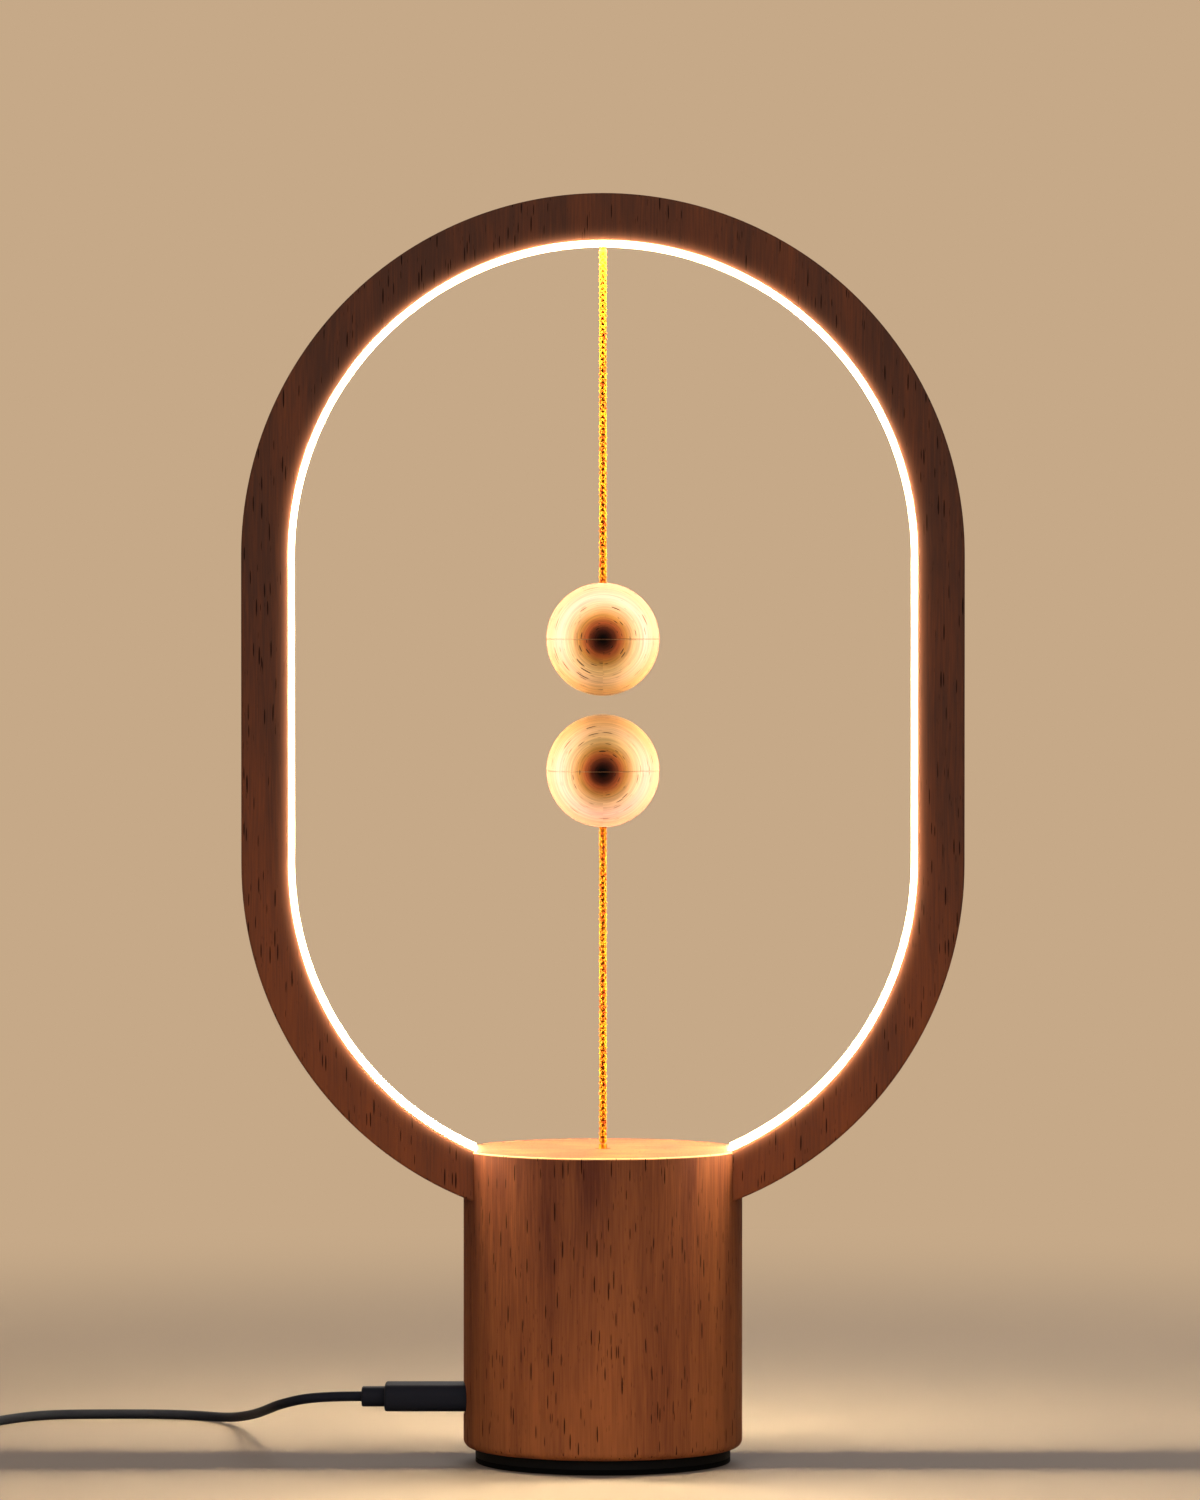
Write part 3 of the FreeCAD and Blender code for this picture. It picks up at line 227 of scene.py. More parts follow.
def round_the_y_axis(tree, place, height):
    """A ball's coordinates wound round its Y axis, and the distance from that axis.

    They are moved along Y by the ball's height, so that no two balls have the same pores.
    """
    centred = add(tree, "Mapping", {"Vector": place, "Location": (0, height, -height)})
    split = add(tree, "SeparateXYZ", {"Vector": centred}).outputs
    flat = add(tree, "CombineXYZ", {"X": split["X"], "Z": split["Z"]})
    radius = add(tree, "VectorMath", {0: flat}, operation="LENGTH").outputs["Value"]
    angle = add(tree, "Math", {0: split["X"], 1: split["Z"]}, operation="ARCTAN2")
    arc = add(tree, "Math", {0: angle, 1: BALL_WINDING}, operation="MULTIPLY")
    wound = add(tree, "CombineXYZ", {"X": radius, "Y": split["Y"], "Z": arc})
    return wound.outputs[0], radius, split["Z"]


def wavy(tree, place):
    """The place moved a little to and fro, so that the fibres aren't quite straight."""
    wave = add(tree, "Math", {0: grain(tree, place, (7, 7, 55)), 1: 1.6 * MM}, operation="MULTIPLY")
    shift = add(tree, "CombineXYZ", {"X": wave, "Y": wave})
    return add(tree, "VectorMath", {0: place, 1: shift}, operation="ADD").outputs[0]


def streaks(tree, place, fibres, level, rise):
    """How pale the wood is, from 0 to 1: it drifts in long streaks along the grain, and over a rise,
    from its lowest height to its highest, it is drawn darker: painted shade."""
    tone = grain(tree, place, (9, 6, 70))
    bands = grain(tree, place, (11, 1.5, 60), 3.0)
    tone = add(tree, "Math", {0: bands, 1: 0.9, 2: tone}, operation="MULTIPLY_ADD")
    tone = add(tree, "Math", {0: fibres, 1: 0.9, 2: tone}, operation="MULTIPLY_ADD")
    # Painted shade: darker towards the top of the rise
    if rise:
        low, high = rise
        painted_shade = {"Value": level, "From Min": low, "From Max": high, "To Min": 0.28, "To Max": -0.28}
        tone = add(tree, "Math", {0: tone, 1: add(tree, "MapRange", painted_shade)}, operation="ADD")
    return add(tree, "MapRange", {"Value": tone, "From Min": 0.95, "From Max": 1.85})


def cut_top(tree, colour, upright, level, top):
    """The colour with the wood's top, at this height, tinted amber, and its rim drawn pale as a
    painted highlight.
    """
    cut = {"Value": level, "From Min": top - 0.3 * MM, "From Max": top - 0.1 * MM}
    cut = add(tree, "MapRange", cut)
    amber = {0: cut, 6: colour, 7: linear(TOP_TINT)}
    colour = add(tree, "Mix", amber, data_type="RGBA", blend_type="MULTIPLY")
    # The rim is drawn pale: a painted highlight on the rounded edge
    rim = add(tree, "Math", {0: near_the_rim(tree, upright), 1: cut}, operation="MULTIPLY")
    return add(tree, "Mix", {0: rim, 6: colour, 7: linear(RIM_PAINTED_HIGHLIGHT)}, data_type="RGBA")


def pored_skin(tree, place, fibres, colour, pore, pore_mm):
    """The shader's sockets for oiled wood: nearly matt over the fibres, with dark pores sunk in.

    The large pores stand in loose groups and are up to 0.3 mm wide, with finer ones between them.
    They are somewhat wider than real ones, so that they show.
    """
    groups = {"Value": grain(tree, place, (6, 6, 14)), "From Min": 0.26, "From Max": 0.42}
    groups = add(tree, "MapRange", groups)
    large = vessels(tree, place, (0.5, 0.5, pore_mm), 0.31)
    large = add(tree, "Math", {0: large, 1: groups}, operation="MULTIPLY")
    fine = vessels(tree, place, (0.4, 0.4, pore_mm / 2), 0.22)
    marks = add(tree, "Math", {0: fine, 1: 0.4, 2: large}, operation="MULTIPLY_ADD", use_clamp=True)
    tint = add(tree, "Math", {0: marks, 1: 0.9}, operation="MULTIPLY")
    colour = add(tree, "Mix", {0: tint, 6: colour, 7: linear(pore)}, data_type="RGBA")
    rough = add(tree, "MapRange", {"Value": fibres, "To Min": 0.6, "To Max": 0.76})
    rough = add(tree, "Math", {0: marks, 1: 0.2, 2: rough}, operation="MULTIPLY_ADD")
    relief = add(tree, "Math", {0: fibres, 1: 0.2}, operation="MULTIPLY")
    relief = add(tree, "Math", {0: relief, 1: marks}, operation="SUBTRACT")
    bump = add(tree, "Bump", {"Height": relief, "Strength": 0.6, "Distance": 0.06 * MM})
    skin = {"Base Color": colour, "Roughness": rough, "Normal": bump}
    return {**skin, "IOR": 1.5, "Specular IOR Level": 0.04}


def sanded_wood(name, pale, dark, pore, rise=None, top=None, painted_halo=False):
    """Wood that is finely sanded, stained and oiled: a nearly matt skin over upright fibres, with
    short dark open pores. With its halo flag set, a painted glow lies beside the light band's groove."""
    material, tree, upright = start_material(name)
    level = add(tree, "SeparateXYZ", {"Vector": upright}).outputs["Z"]
    place = wavy(tree, upright)
    fibres = grain(tree, place, FIBRE_MM, 3.0)
    share = streaks(tree, place, fibres, level, rise)
    colour = add(tree, "Mix", {0: share, 6: linear(dark), 7: linear(pale)}, data_type="RGBA")
    if top:
        colour = cut_top(tree, colour, upright, level, top)
    skin = pored_skin(tree, place, fibres, colour, pore, PORE_MM)
    # A painted glow beside the groove: painted light for the band's halo
    if painted_halo:
        skin |= {"Emission Color": linear(HALO_GLOW_COLOUR), "Emission Strength": painted_halo_glow(tree, upright)}
    end_material(tree, skin)
    return material


def turned_wood(name, pore, height):
    """The same wood turned to a ball, with its centre at this height: its fibres and pores wind
    round its Y axis."""
    material, tree, upright = start_material(name)
    place, radius, above_seam = round_the_y_axis(tree, upright, height)
    place = wavy(tree, place)
    fibres = grain(tree, place, FIBRE_MM, 3.0)
    shade = {"Value": fibres, "From Min": 0.3, "From Max": 0.7, "To Min": 0.72, "To Max": 1.25}
    shade = add(tree, "MapRange", shade)
    colour = ball_tones_and_painted_shade(tree, radius, above_seam, height)
    colour = add(tree, "Mix", {0: 1, 6: colour, 7: shade}, data_type="RGBA", blend_type="MULTIPLY")
    end_material(tree, pored_skin(tree, place, fibres, colour, pore, BALL_PORE_MM))
    return material


def painted_halo_glow(tree, place):
    """Strength of the glow painted in the wood: it fades with distance from the groove. It is painted
    light that stands for the soft halo that shows round so bright a band."""
    split = add(tree, "SeparateXYZ", {"Vector": place}).outputs
    inside = {"Value": split["Z"], "Min": LOWER_CENTRE, "Max": UPPER_CENTRE}
    rise = add(tree, "Math", {0: split["Z"], 1: add(tree, "Clamp", inside)}, operation="SUBTRACT")
    flat = add(tree, "CombineXYZ", {"X": split["X"], "Z": rise})
    radius = add(tree, "VectorMath", {0: flat}, operation="LENGTH").outputs["Value"]
    out = add(tree, "Math", {0: radius, 1: RING_INNER + RING_EDGE}, operation="SUBTRACT")
    out = add(tree, "Math", {0: out, 1: 0}, operation="MAXIMUM")
    out = add(tree, "Math", {0: out, 1: -1 / HALO_GLOW_LENGTH}, operation="MULTIPLY")
    out = add(tree, "Math", {0: out}, operation="EXPONENT")
    return add(tree, "Math", {0: out, 1: HALO_GLOW_STRENGTH}, operation="MULTIPLY")


def near_the_rim(tree, place):
    """1 on the rounded edge of the base, fading to 0 a little way in from it. The painted highlight
    lies there.
    """
    flat = add(tree, "Mapping", {"Vector": place, "Scale": (1, 1, 0)})
    across = add(tree, "VectorMath", {0: flat}, operation="LENGTH").outputs["Value"]
    edge = {"Value": across, "From Min": BASE_RADIUS - 0.5 * MM, "From Max": BASE_RADIUS - 0.25 * MM}
    return add(tree, "MapRange", edge)


def ball_tones_and_painted_shade(tree, radius, above_seam, height):
    """A ball's tones, from the middle of its front and back outwards, darkening to a middle of painted
    shade. The chamfers of its seam are kept out of that shade, and the cap that faces the other ball
    is tinted amber: painted shade too."""
    # Darker towards the middle of the front and back: painted shade as well as wood
    share = add(tree, "Math", {0: radius, 1: 1 / BALL_RADIUS}, operation="MULTIPLY")
    seam = add(tree, "Math", {0: above_seam}, operation="ABSOLUTE")
    # The seam's chamfers are kept out of the painted shade
    chamfer = {"Value": seam, "From Min": 0.5 * BALL_EDGE, "From Max": 1.2 * BALL_EDGE}
    chamfer = add(tree, "MapRange", {**chamfer, "To Min": 0.5, "To Max": 0})
    share = add(tree, "Math", {0: share, 1: chamfer}, operation="MAXIMUM")
    ramp = add(tree, "ValToRGB", {"Fac": share})
    stops = ramp.color_ramp.elements
    stops.remove(stops[1])
    for place, tone in BALL_TONES_AND_SHADE:
        stop = stops.new(place)
        stop.color = linear(tone)
    # Painted shade: the cap that faces the other ball is tinted amber
    cap = -BALL_RADIUS if height == UPPER_BALL else BALL_RADIUS
    facing = {"Value": above_seam, "From Min": 0.1 * cap, "From Max": 0.85 * cap}
    amber = {0: add(tree, "MapRange", facing), 6: ramp.outputs["Color"], 7: linear(CAP_PAINTED_SHADE_TINT)}
    return add(tree, "Mix", amber, data_type="RGBA", blend_type="MULTIPLY")


def moulded(name, colour, roughness=0.45, grain_mm=0.3, depth_mm=0.01, sockets=None):
    """Moulded or coated part: one slightly cloudy colour under the fine, shallow texture of its
    mould, which is drawn coarser than real so that it shows."""
    material, tree, place = start_material(name)
    texture = grain(tree, place, (grain_mm,) * 3, 3.0)
    cloud = grain(tree, place, (6, 6, 6))
    shade = [0.82 * c for c in linear(colour)[:3]] + [1.0]
    tint = add(tree, "Mix", {0: cloud, 6: shade, 7: linear(colour)}, data_type="RGBA")
    rough = {"Value": texture, "To Min": roughness - 0.08, "To Max": roughness + 0.08}
    bump = add(tree, "Bump", {"Height": texture, "Strength": 0.5, "Distance": depth_mm * MM})
    skin = {"Base Color": tint, "Roughness": add(tree, "MapRange", rough), "Normal": bump}
    end_material(tree, {"IOR": 1.46, **skin, **(sockets or {})})
    return material


def metal(name, colour, roughness=0.3, lay_mm=(0.1, 0.1, 4)):
    """Rolled, turned or plated metal: marks along its lay change the tone and the gloss a little.
    They are drawn coarser than real, so that they show."""
    material, tree, place = start_material(name)
    marks = grain(tree, place, lay_mm, 3.0)
    shade = [0.78 * c for c in linear(colour)[:3]] + [1.0]
    tint = add(tree, "Mix", {0: marks, 6: shade, 7: linear(colour)}, data_type="RGBA")
    rough = {"Value": marks, "To Min": roughness - 0.1, "To Max": roughness + 0.12}
    rough = add(tree, "MapRange", rough)
    end_material(tree, {"Base Color": tint, "Roughness": rough, "Metallic": 1.0})
    return material


def waxed_cord(name, pale, dark):
    """Braided cotton, waxed: matt threads with darker flecks drawn out along the cord. The threads
    are drawn thicker than real, so that they show."""
    material, tree, place = start_material(name)
    flecks = grain(tree, place, (0.5, 0.5, 1.6), 4.0)
    share = add(tree, "MapRange", {"Value": flecks, "From Min": 0.36, "From Max": 0.58})
    tint = add(tree, "Mix", {0: share, 6: linear(dark), 7: linear(pale)}, data_type="RGBA")
    threads = grain(tree, place, (0.08, 0.08, 0.3))
    bump = add(tree, "Bump", {"Height": threads, "Strength": 0.6, "Distance": 0.05 * MM})
    skin = {"Base Color": tint, "Roughness": 0.75, "Specular IOR Level": 0.02, "Normal": bump}
    end_material(tree, skin)
    return material


def lit_silicone(name, middle, edge, cast, shown):
    """Frosted silicone over lamps that are on: white in the middle, dimmer and warmer at its edges.
    Its frosting is drawn coarser than real.

    It casts far more light than it needs to look white, so it is shown at a strength of its own.
    """
    material, tree, place = start_material(name)
    across = add(tree, "SeparateXYZ", {"Vector": place}).outputs["Y"]
    across = add(tree, "Math", {0: across}, operation="ABSOLUTE")
    span = {"Value": across, "From Min": BAND_HALF_WIDTH, "From Max": 0.94 * BAND_HALF_WIDTH}
    share = add(tree, "MapRange", span, interpolation_type="SMOOTHERSTEP")
    glow = add(tree, "Mix", {0: share, 6: linear(edge), 7: linear(middle)}, data_type="RGBA")
    power = add(tree, "Math", {0: share, 1: cast}, operation="MULTIPLY")
    seen = add(tree, "MapRange", {"Value": share, "To Min": 1, "To Max": shown})
    camera = add(tree, "LightPath").outputs["Is Camera Ray"]
    power = add(tree, "Mix", {0: camera, 2: power, 3: seen}, data_type="FLOAT")
    cloud = grain(tree, place, (0.4, 0.4, 0.4))
    rough = add(tree, "MapRange", {"Value": cloud, "To Min": 0.35, "To Max": 0.5})
    skin = {"Base Color": linear("f2eee4"), "Roughness": rough, "IOR": 1.41}
    end_material(tree, {**skin, "Emission Color": glow, "Emission Strength": power})
    return material


FIBRE_MM = (0.3, 0.3, 8)  # drawn about ten times as wide as real fibres, which wouldn't show
PORE_MM = 6  # a pore is up to six tenths of this long
BALL_PORE_MM = 4
# Painted glow in the ring's wood beside the band, standing for its halo: colour, reach, strength
HALO_GLOW_COLOUR = "ffa26f"
HALO_GLOW_LENGTH = 0.52 * MM  # over which the glow in the ring's wood fades to a third
HALO_GLOW_STRENGTH = 0.36
TOP_TINT = "e2e2c7"
# A painted highlight along the base's rounded top edge
RIM_PAINTED_HIGHLIGHT = "a87c58"
# Painted shade on the cap of a ball that faces the other ball
CAP_PAINTED_SHADE_TINT = "f6ffc4"
# Tones of a ball, from the middle of its front and back out: how far out, in radii, and the tone
# there. They darken towards the middle, which is drawn nearly black: painted shade there as well as
# the wood. All of them are written much darker than they look, because the lit band beside them is
# strong.
BALL_TONES_AND_SHADE = [
    (0.06, "0e0603"),
    (0.2, "3c1508"),
    (0.3, "5c2810"),
    (0.42, "573917"),
    (0.56, "5a4536"),
    (0.75, "57403f"),
    (0.92, "52362c"),
]
# Heights over which the wood is drawn darker upwards: painted shade
RING_SHADE_RISE = (BASE_TOP - 12 * MM, LOWER_CENTRE + 20 * MM)
BASE_SHADE_RISE = (WOOD_BOTTOM, BASE_TOP)
# Rubberwood, sanded, stained and oiled: reddish brown and nearly matt, streaked along its grain
# The ring's wood has a painted glow beside its band
RING_WOOD = sanded_wood("oiled_rubberwood_ring", "7c4227", "4b2f24", "170b07", RING_SHADE_RISE, painted_halo=True)
BASE_WOOD = sanded_wood("oiled_rubberwood_base", "8a502d", "562c1e", "1c0d06", BASE_SHADE_RISE, BASE_TOP)
# Rubberwood, turned, stained and oiled: the same skin, with rings of tone round the ball's front,
# darkening to a middle of painted shade
UPPER_BALL_WOOD = turned_wood("turned_rubberwood_upper", "1c0e08", UPPER_BALL)
LOWER_BALL_WOOD = turned_wood("turned_rubberwood_lower", "1c0e08", LOWER_BALL)
# Waxed cotton, braided: a matt amber-brown cord with darker flecks
CORD = waxed_cord("waxed_cotton_braid", "864c08", "601d04")
# Silicone, extruded and frosted, over lamps that are on: an even white glow with warm edges. It casts
# 175 and is shown at 2.2, where 1 is white.
LIT_BAND = lit_silicone("frosted_silicone_lit", "fff0c6", "ffc890", cast=175.0, shown=2.2)
# Elastomer, moulded: nearly black and matt, like soft rubber
LEAD_SKIN = moulded(
    "moulded_lead_elastomer",
    "1d1e25",
    roughness=0.65,
    grain_mm=0.4,
    sockets={"Specular IOR Level": 0.05},
)
# Closed-cell foam, cut from sheet: black and fully matt, with shallow pits
FOOT_FOAM = moulded(
    "closed_cell_foam",
    "040404",
    roughness=0.9,
    grain_mm=0.5,
    depth_mm=0.08,
    sockets={"Specular IOR Level": 0.05},
)
# ABS, moulded: black and nearly matt
COVER_PLASTIC = moulded(
    "black_moulded_cover", "080808", roughness=0.7, sockets={"Specular IOR Level": 0.1}
)
# Hook tape, woven: black and matt, with the ridges of its weave
TIE_TAPE = moulded("black_woven_hook_tape", "151516", roughness=0.9, grain_mm=0.25, depth_mm=0.1)

# The finish of each material slot that the frame's own parts keep
FINISHES = {
    # Planed beech: pale yellow-brown, with fine straight fibres
    "dowel_wood": sanded_wood("planed_beech", "c79a6a", "a87c4e", "6a4a2c"),
    "diffuser": LIT_BAND,
    # Film, coated white: smooth and half glossy
    "strip_film": moulded("white_circuit_film", "e8e6de", roughness=0.35),
    # Phosphor gel, cast in its cup: smooth, glossy yellow
    "light_chip": moulded("yellow_light_chip", "e5c243", roughness=0.3),
    "cord": CORD,
    # Brass, turned: warm yellow, with fine marks in its gloss
    "ferrule": metal("turned_brass", "b9924e"),
    # Magnet, nickel plated: the brightest and smoothest metal here
    "magnet": metal("nickel_plated_magnet", "c9c9cc", roughness=0.2),
    # Steel, zinc plated: light grey and a little dull
    "steel": metal("zinc_plated_steel", "b4b6ba", roughness=0.35),
    # Steel, rolled: darker grey and duller
    "ballast_steel": metal("rolled_steel", "7d7f82", roughness=0.45),
    "foot_plastic": COVER_PLASTIC,
    "foot_foam": FOOT_FOAM,
    # Glass-fibre board, lacquered: smooth, glossy green
    "board": moulded("green_circuit_board", "1d5c3a", roughness=0.3),
    # Epoxy, moulded: black, with a satin skin
    "component": moulded("black_moulded_epoxy", "1c1c1f", roughness=0.4),
    # Nylon, moulded: light grey and satin
    "bracket_plastic": moulded("grey_moulded_nylon", "b8b8b4", roughness=0.5),
    # Acetal, turned: white, smooth and a little waxy
    "plunger_plastic": moulded("white_turned_acetal", "e6e5df", roughness=0.35),
    # Acetal, moulded: the same smooth skin in red
    "button_plastic": moulded("red_moulded_acetal", "a82820", roughness=0.35),
    # Brass, tinned: pale, between silver and straw
    "terminal": metal("tinned_brass", "c4b384", roughness=0.3),
    # Insulation, extruded: an even red with a soft gloss
    "wire": moulded("red_wire_insulation", "9c241c", roughness=0.4),
    "lead": LEAD_SKIN,
    "tie": TIE_TAPE,
}
for part in frame["record"]["subparts"]:
    if part["material_slot"] in FINISHES:
        data = frame["nodes"][part["node"]].data
        data.materials.clear()
        data.materials.append(FINISHES[part["material_slot"]])


# Shaping


def finished(name, shape, finish, sharp_over=35):
    """The object of a finished shape, with faces out and edges sharp over this many degrees."""
    bmesh.ops.remove_doubles(shape, verts=shape.verts, dist=MERGE)
    bmesh.ops.recalc_face_normals(shape, faces=shape.faces)
    mesh = bpy.data.meshes.new(name)
    shape.to_mesh(mesh)
    shape.free()
    return placed(name, mesh, finish, sharp_over)


def placed(name, mesh, finish, sharp_over=35):
    """The object of a mesh, with its one finish, linked to the scene."""
    mesh.materials.clear()
    mesh.materials.append(finish)
    mesh.shade_smooth()
    mesh.set_sharp_from_angle(angle=math.radians(sharp_over))
    made = bpy.data.objects.new(name, mesh)
    bpy.context.scene.collection.objects.link(made)
    return made


def fit(piece, body, slot, *nodes):
    """The piece rides on a body and stands for these parts. Its slot is not used."""
    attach(piece, body)
    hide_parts(*nodes)
    return piece


def outline(shape, points, closed=False):
    """A chain of edges through these points, and the points' vertices."""
    corners = [shape.verts.new(point) for point in points]
    for first, second in zip(corners, corners[1:] + corners[:1] if closed else corners[1:]):
        shape.edges.new((first, second))
    return corners


def rounded(shape, corners, radius, segments=4):
    """Rounds these corners of a flat outline."""
    bmesh.ops.bevel(
        shape,
        geom=corners,
        offset=radius,
        offset_type="OFFSET",
        segments=segments,
        profile=0.5,
        affect="VERTICES",
        material=-1,
    )


def turn(shape, steps=TURN_STEPS):
    """Turns the whole outline, drawn in the XZ plane, round the Z axis."""
    bmesh.ops.spin(
        shape,
        geom=shape.verts[:] + shape.edges[:],
        cent=(0, 0, 0),
        axis=Z_AXIS,
        angle=2 * math.pi,
        steps=steps,
        use_merge=True,
    )


def carve(name, shape, cutters, finish):
    """The object of the first shape with the others cut out of it."""
    body = finished(name, shape, finish)
    tools = [finished(name + "_cutter", cutter, finish) for cutter in cutters]
    for tool in tools:
        cut = body.modifiers.new("cut", "BOOLEAN")
        cut.operation = "DIFFERENCE"
        cut.object = tool
    graph = bpy.context.evaluated_depsgraph_get()
    mesh = bpy.data.meshes.new_from_object(body.evaluated_get(graph))
    for used in [body] + tools:
        bpy.data.objects.remove(used)
    return placed(name, mesh, finish)


def line_through(points, name, diameter=0.0, finish=None):
    """A curve of one open spline, with these control points, that is a rod if it has a diameter."""
    data = bpy.data.curves.new(name, "CURVE")
    data.dimensions = "3D"
    data.resolution_u = 8
    spline = data.splines.new("NURBS")
    spline.points.add(len(points) - 1)
    for control, place in zip(spline.points, points):
        control.co = (*place, 1)
    spline.order_u = 3
    spline.use_endpoint_u = True
    data.bevel_depth = diameter / 2
    data.bevel_resolution = 5
    data.use_fill_caps = True
    if finish:
        data.materials.append(finish)
    curve = bpy.data.objects.new(name, data)
    bpy.context.scene.collection.objects.link(curve)
    return curve


# Wooden ring and light band


def sweep_round_the_ring(shape):
    """Carries an outline, drawn at the right above the lower arc's axis, round the whole ring.

    Its right half is made first: down to the base, then up the side and over to the top.
    """
    section = shape.verts[:] + shape.edges[:]
    section_edges = shape.edges[:]
    # A little past the foot, which is then cut upright
    reach = math.acos(RING_FOOT / RING_OUTER) + math.radians(4)
    bmesh.ops.spin(
        shape,
        geom=section,
        cent=(0, 0, LOWER_CENTRE),
        axis=Y_AXIS,
        angle=reach,
        steps=40,
        use_duplicate=False,
    )
    cut = bmesh.ops.bisect_plane(
        shape,
        geom=shape.verts[:] + shape.edges[:] + shape.faces[:],
        plane_co=(RING_FOOT, 0, 0),
        plane_no=-X_AXIS,
        clear_outer=True,
        dist=MERGE,
    )
    ends = [e for e in cut["geom_cut"] if isinstance(e, bmesh.types.BMEdge)]
    rise = bmesh.ops.extrude_edge_only(shape, edges=section_edges)["geom"]
    top = [v for v in rise if isinstance(v, bmesh.types.BMVert)]
    bmesh.ops.translate(shape, verts=top, vec=(0, 0, UPPER_CENTRE - LOWER_CENTRE))
    rise = top + [e for e in rise if isinstance(e, bmesh.types.BMEdge)]
    bmesh.ops.spin(
        shape,
        geom=rise,
        cent=(0, 0, UPPER_CENTRE),
        axis=Y_AXIS,
        angle=-math.pi / 2,
        steps=60,
        use_duplicate=False,
    )
    return ends


def mirror_over(shape):
    """Adds the left half, and merges the two where they meet."""
    everything = shape.verts[:] + shape.edges[:] + shape.faces[:]
    bmesh.ops.mirror(shape, geom=everything, merge_dist=MERGE, axis="X")
    bmesh.ops.remove_doubles(shape, verts=shape.verts, dist=MERGE)


def ring_section(grooved):
    """The ring's section at its right side: a flat bar with softened edges and its groove."""
    shape = bmesh.new()
    y, z = RING_HALF_DEPTH, LOWER_CENTRE
    points = [(RING_OUTER, -y, z), (RING_OUTER, y, z), (RING_INNER, y, z)]
    if grooved:
        groove = GROOVE_HALF_WIDTH
        points += [(RING_INNER, groove, z), (GROOVE_FLOOR, groove, z)]
        points += [(GROOVE_FLOOR, -groove, z), (RING_INNER, -groove, z)]
    points.append((RING_INNER, -y, z))
    corners = outline(shape, points, closed=True)
    rounded(shape, [v for v in corners if abs(v.co.y) > y - MERGE], RING_EDGE)
    return shape


def ring_body(grooved):
    """The whole ring, or without its groove the room that it takes up in the base."""
    shape = ring_section(grooved)
    ends = sweep_round_the_ring(shape)
    bmesh.ops.contextual_create(shape, geom=ends)
    mirror_over(shape)
    return shape


def light_band():
    """A low arch of frosted silicone that fills the groove and stands a little proud of it."""
    shape = bmesh.new()
    z, half = LOWER_CENTRE, BAND_HALF_WIDTH
    sagitta = RING_INNER - BAND_CROWN
    arch_radius = (half**2 + sagitta**2) / (2 * sagitta)
    centre = (BAND_CROWN + arch_radius, 0, z)
    spread = 2 * math.asin(half / arch_radius)
    start = shape.verts.new((RING_INNER, -half, z))
    bmesh.ops.spin(shape, geom=[start], cent=centre, axis=-Z_AXIS, angle=spread, steps=14)
    for side in (-half, half):
        shoulder = min(shape.verts, key=lambda v: (v.co - Vector((RING_INNER, side, z))).length)
        shape.edges.new((shoulder, shape.verts.new((BAND_FLOOR, side, z))))
    sweep_round_the_ring(shape)
    mirror_over(shape)
    bmesh.ops.recalc_face_normals(shape, faces=shape.faces)
    bmesh.ops.solidify(shape, geom=shape.faces[:], thickness=BAND_WALL)
    return finished("silicone_light_band", shape, LIT_BAND)


# Base


def base_profile():
    """Half of the base's upright section, hollow from below and bored for the cord."""
    shape = bmesh.new()
    points = [
        (BASE_RADIUS, 0, WOOD_BOTTOM),
        (BASE_RADIUS, 0, BASE_TOP),
        (CORD_MOUTH, 0, BASE_TOP),
        (CORD_HOLE, 0, BASE_TOP - CORD_MOUTH_DEPTH),
        (CORD_HOLE, 0, WELL_TOP),
        (WELL_RADIUS, 0, WELL_TOP),
        (WELL_RADIUS, 0, CEILING),
        (BORE_RADIUS, 0, CEILING),
        (BORE_RADIUS, 0, WOOD_BOTTOM),
    ]
    corners = outline(shape, points, closed=True)
    bottom, top = corners[0], corners[1]
    rounded(shape, [bottom], BASE_BOTTOM_ROUND, 8)
    rounded(shape, [top], BASE_TOP_ROUND, 5)
    return shape


def box_shape(low, high):
    """A block between two corners."""
    shape = bmesh.new()
    low, high = Vector(low), Vector(high)
    bmesh.ops.create_cube(shape, size=1)
    bmesh.ops.scale(shape, verts=shape.verts, vec=high - low)
    bmesh.ops.translate(shape, verts=shape.verts, vec=(low + high) / 2)
    return shape


def soften(shape, edges, radius, segments=5):
    """Rounds these edges."""
    bmesh.ops.bevel(
        shape, geom=edges, offset=radius, segments=segments, profile=0.5, affect="EDGES", material=-1
    )


def along(shape, axis):
    """The edges that run along an axis."""
    return [e for e in shape.edges if abs((e.verts[0].co - e.verts[1].co).normalized().dot(axis)) > 0.99]


def plug_slot():
    """The opening in the base's side that the plug goes in through."""
    fit_all_round = Vector((0, SLOT_FIT, SLOT_FIT))
    low, high = PLUG_LOW - fit_all_round, PLUG_HIGH + fit_all_round
    low.x, high.x = -BASE_RADIUS - 2 * PAST, -BORE_RADIUS + PAST
    shape = box_shape(low, high)
    soften(shape, along(shape, X_AXIS), SLOT_CORNER)
    return shape


def wooden_base():
    """The turned base, with the ring's seat and the plug's slot cut out of it."""
    shape = base_profile()
    turn(shape)
    return carve("wooden_base", shape, [ring_body(grooved=False), plug_slot()], BASE_WOOD)


# Balls


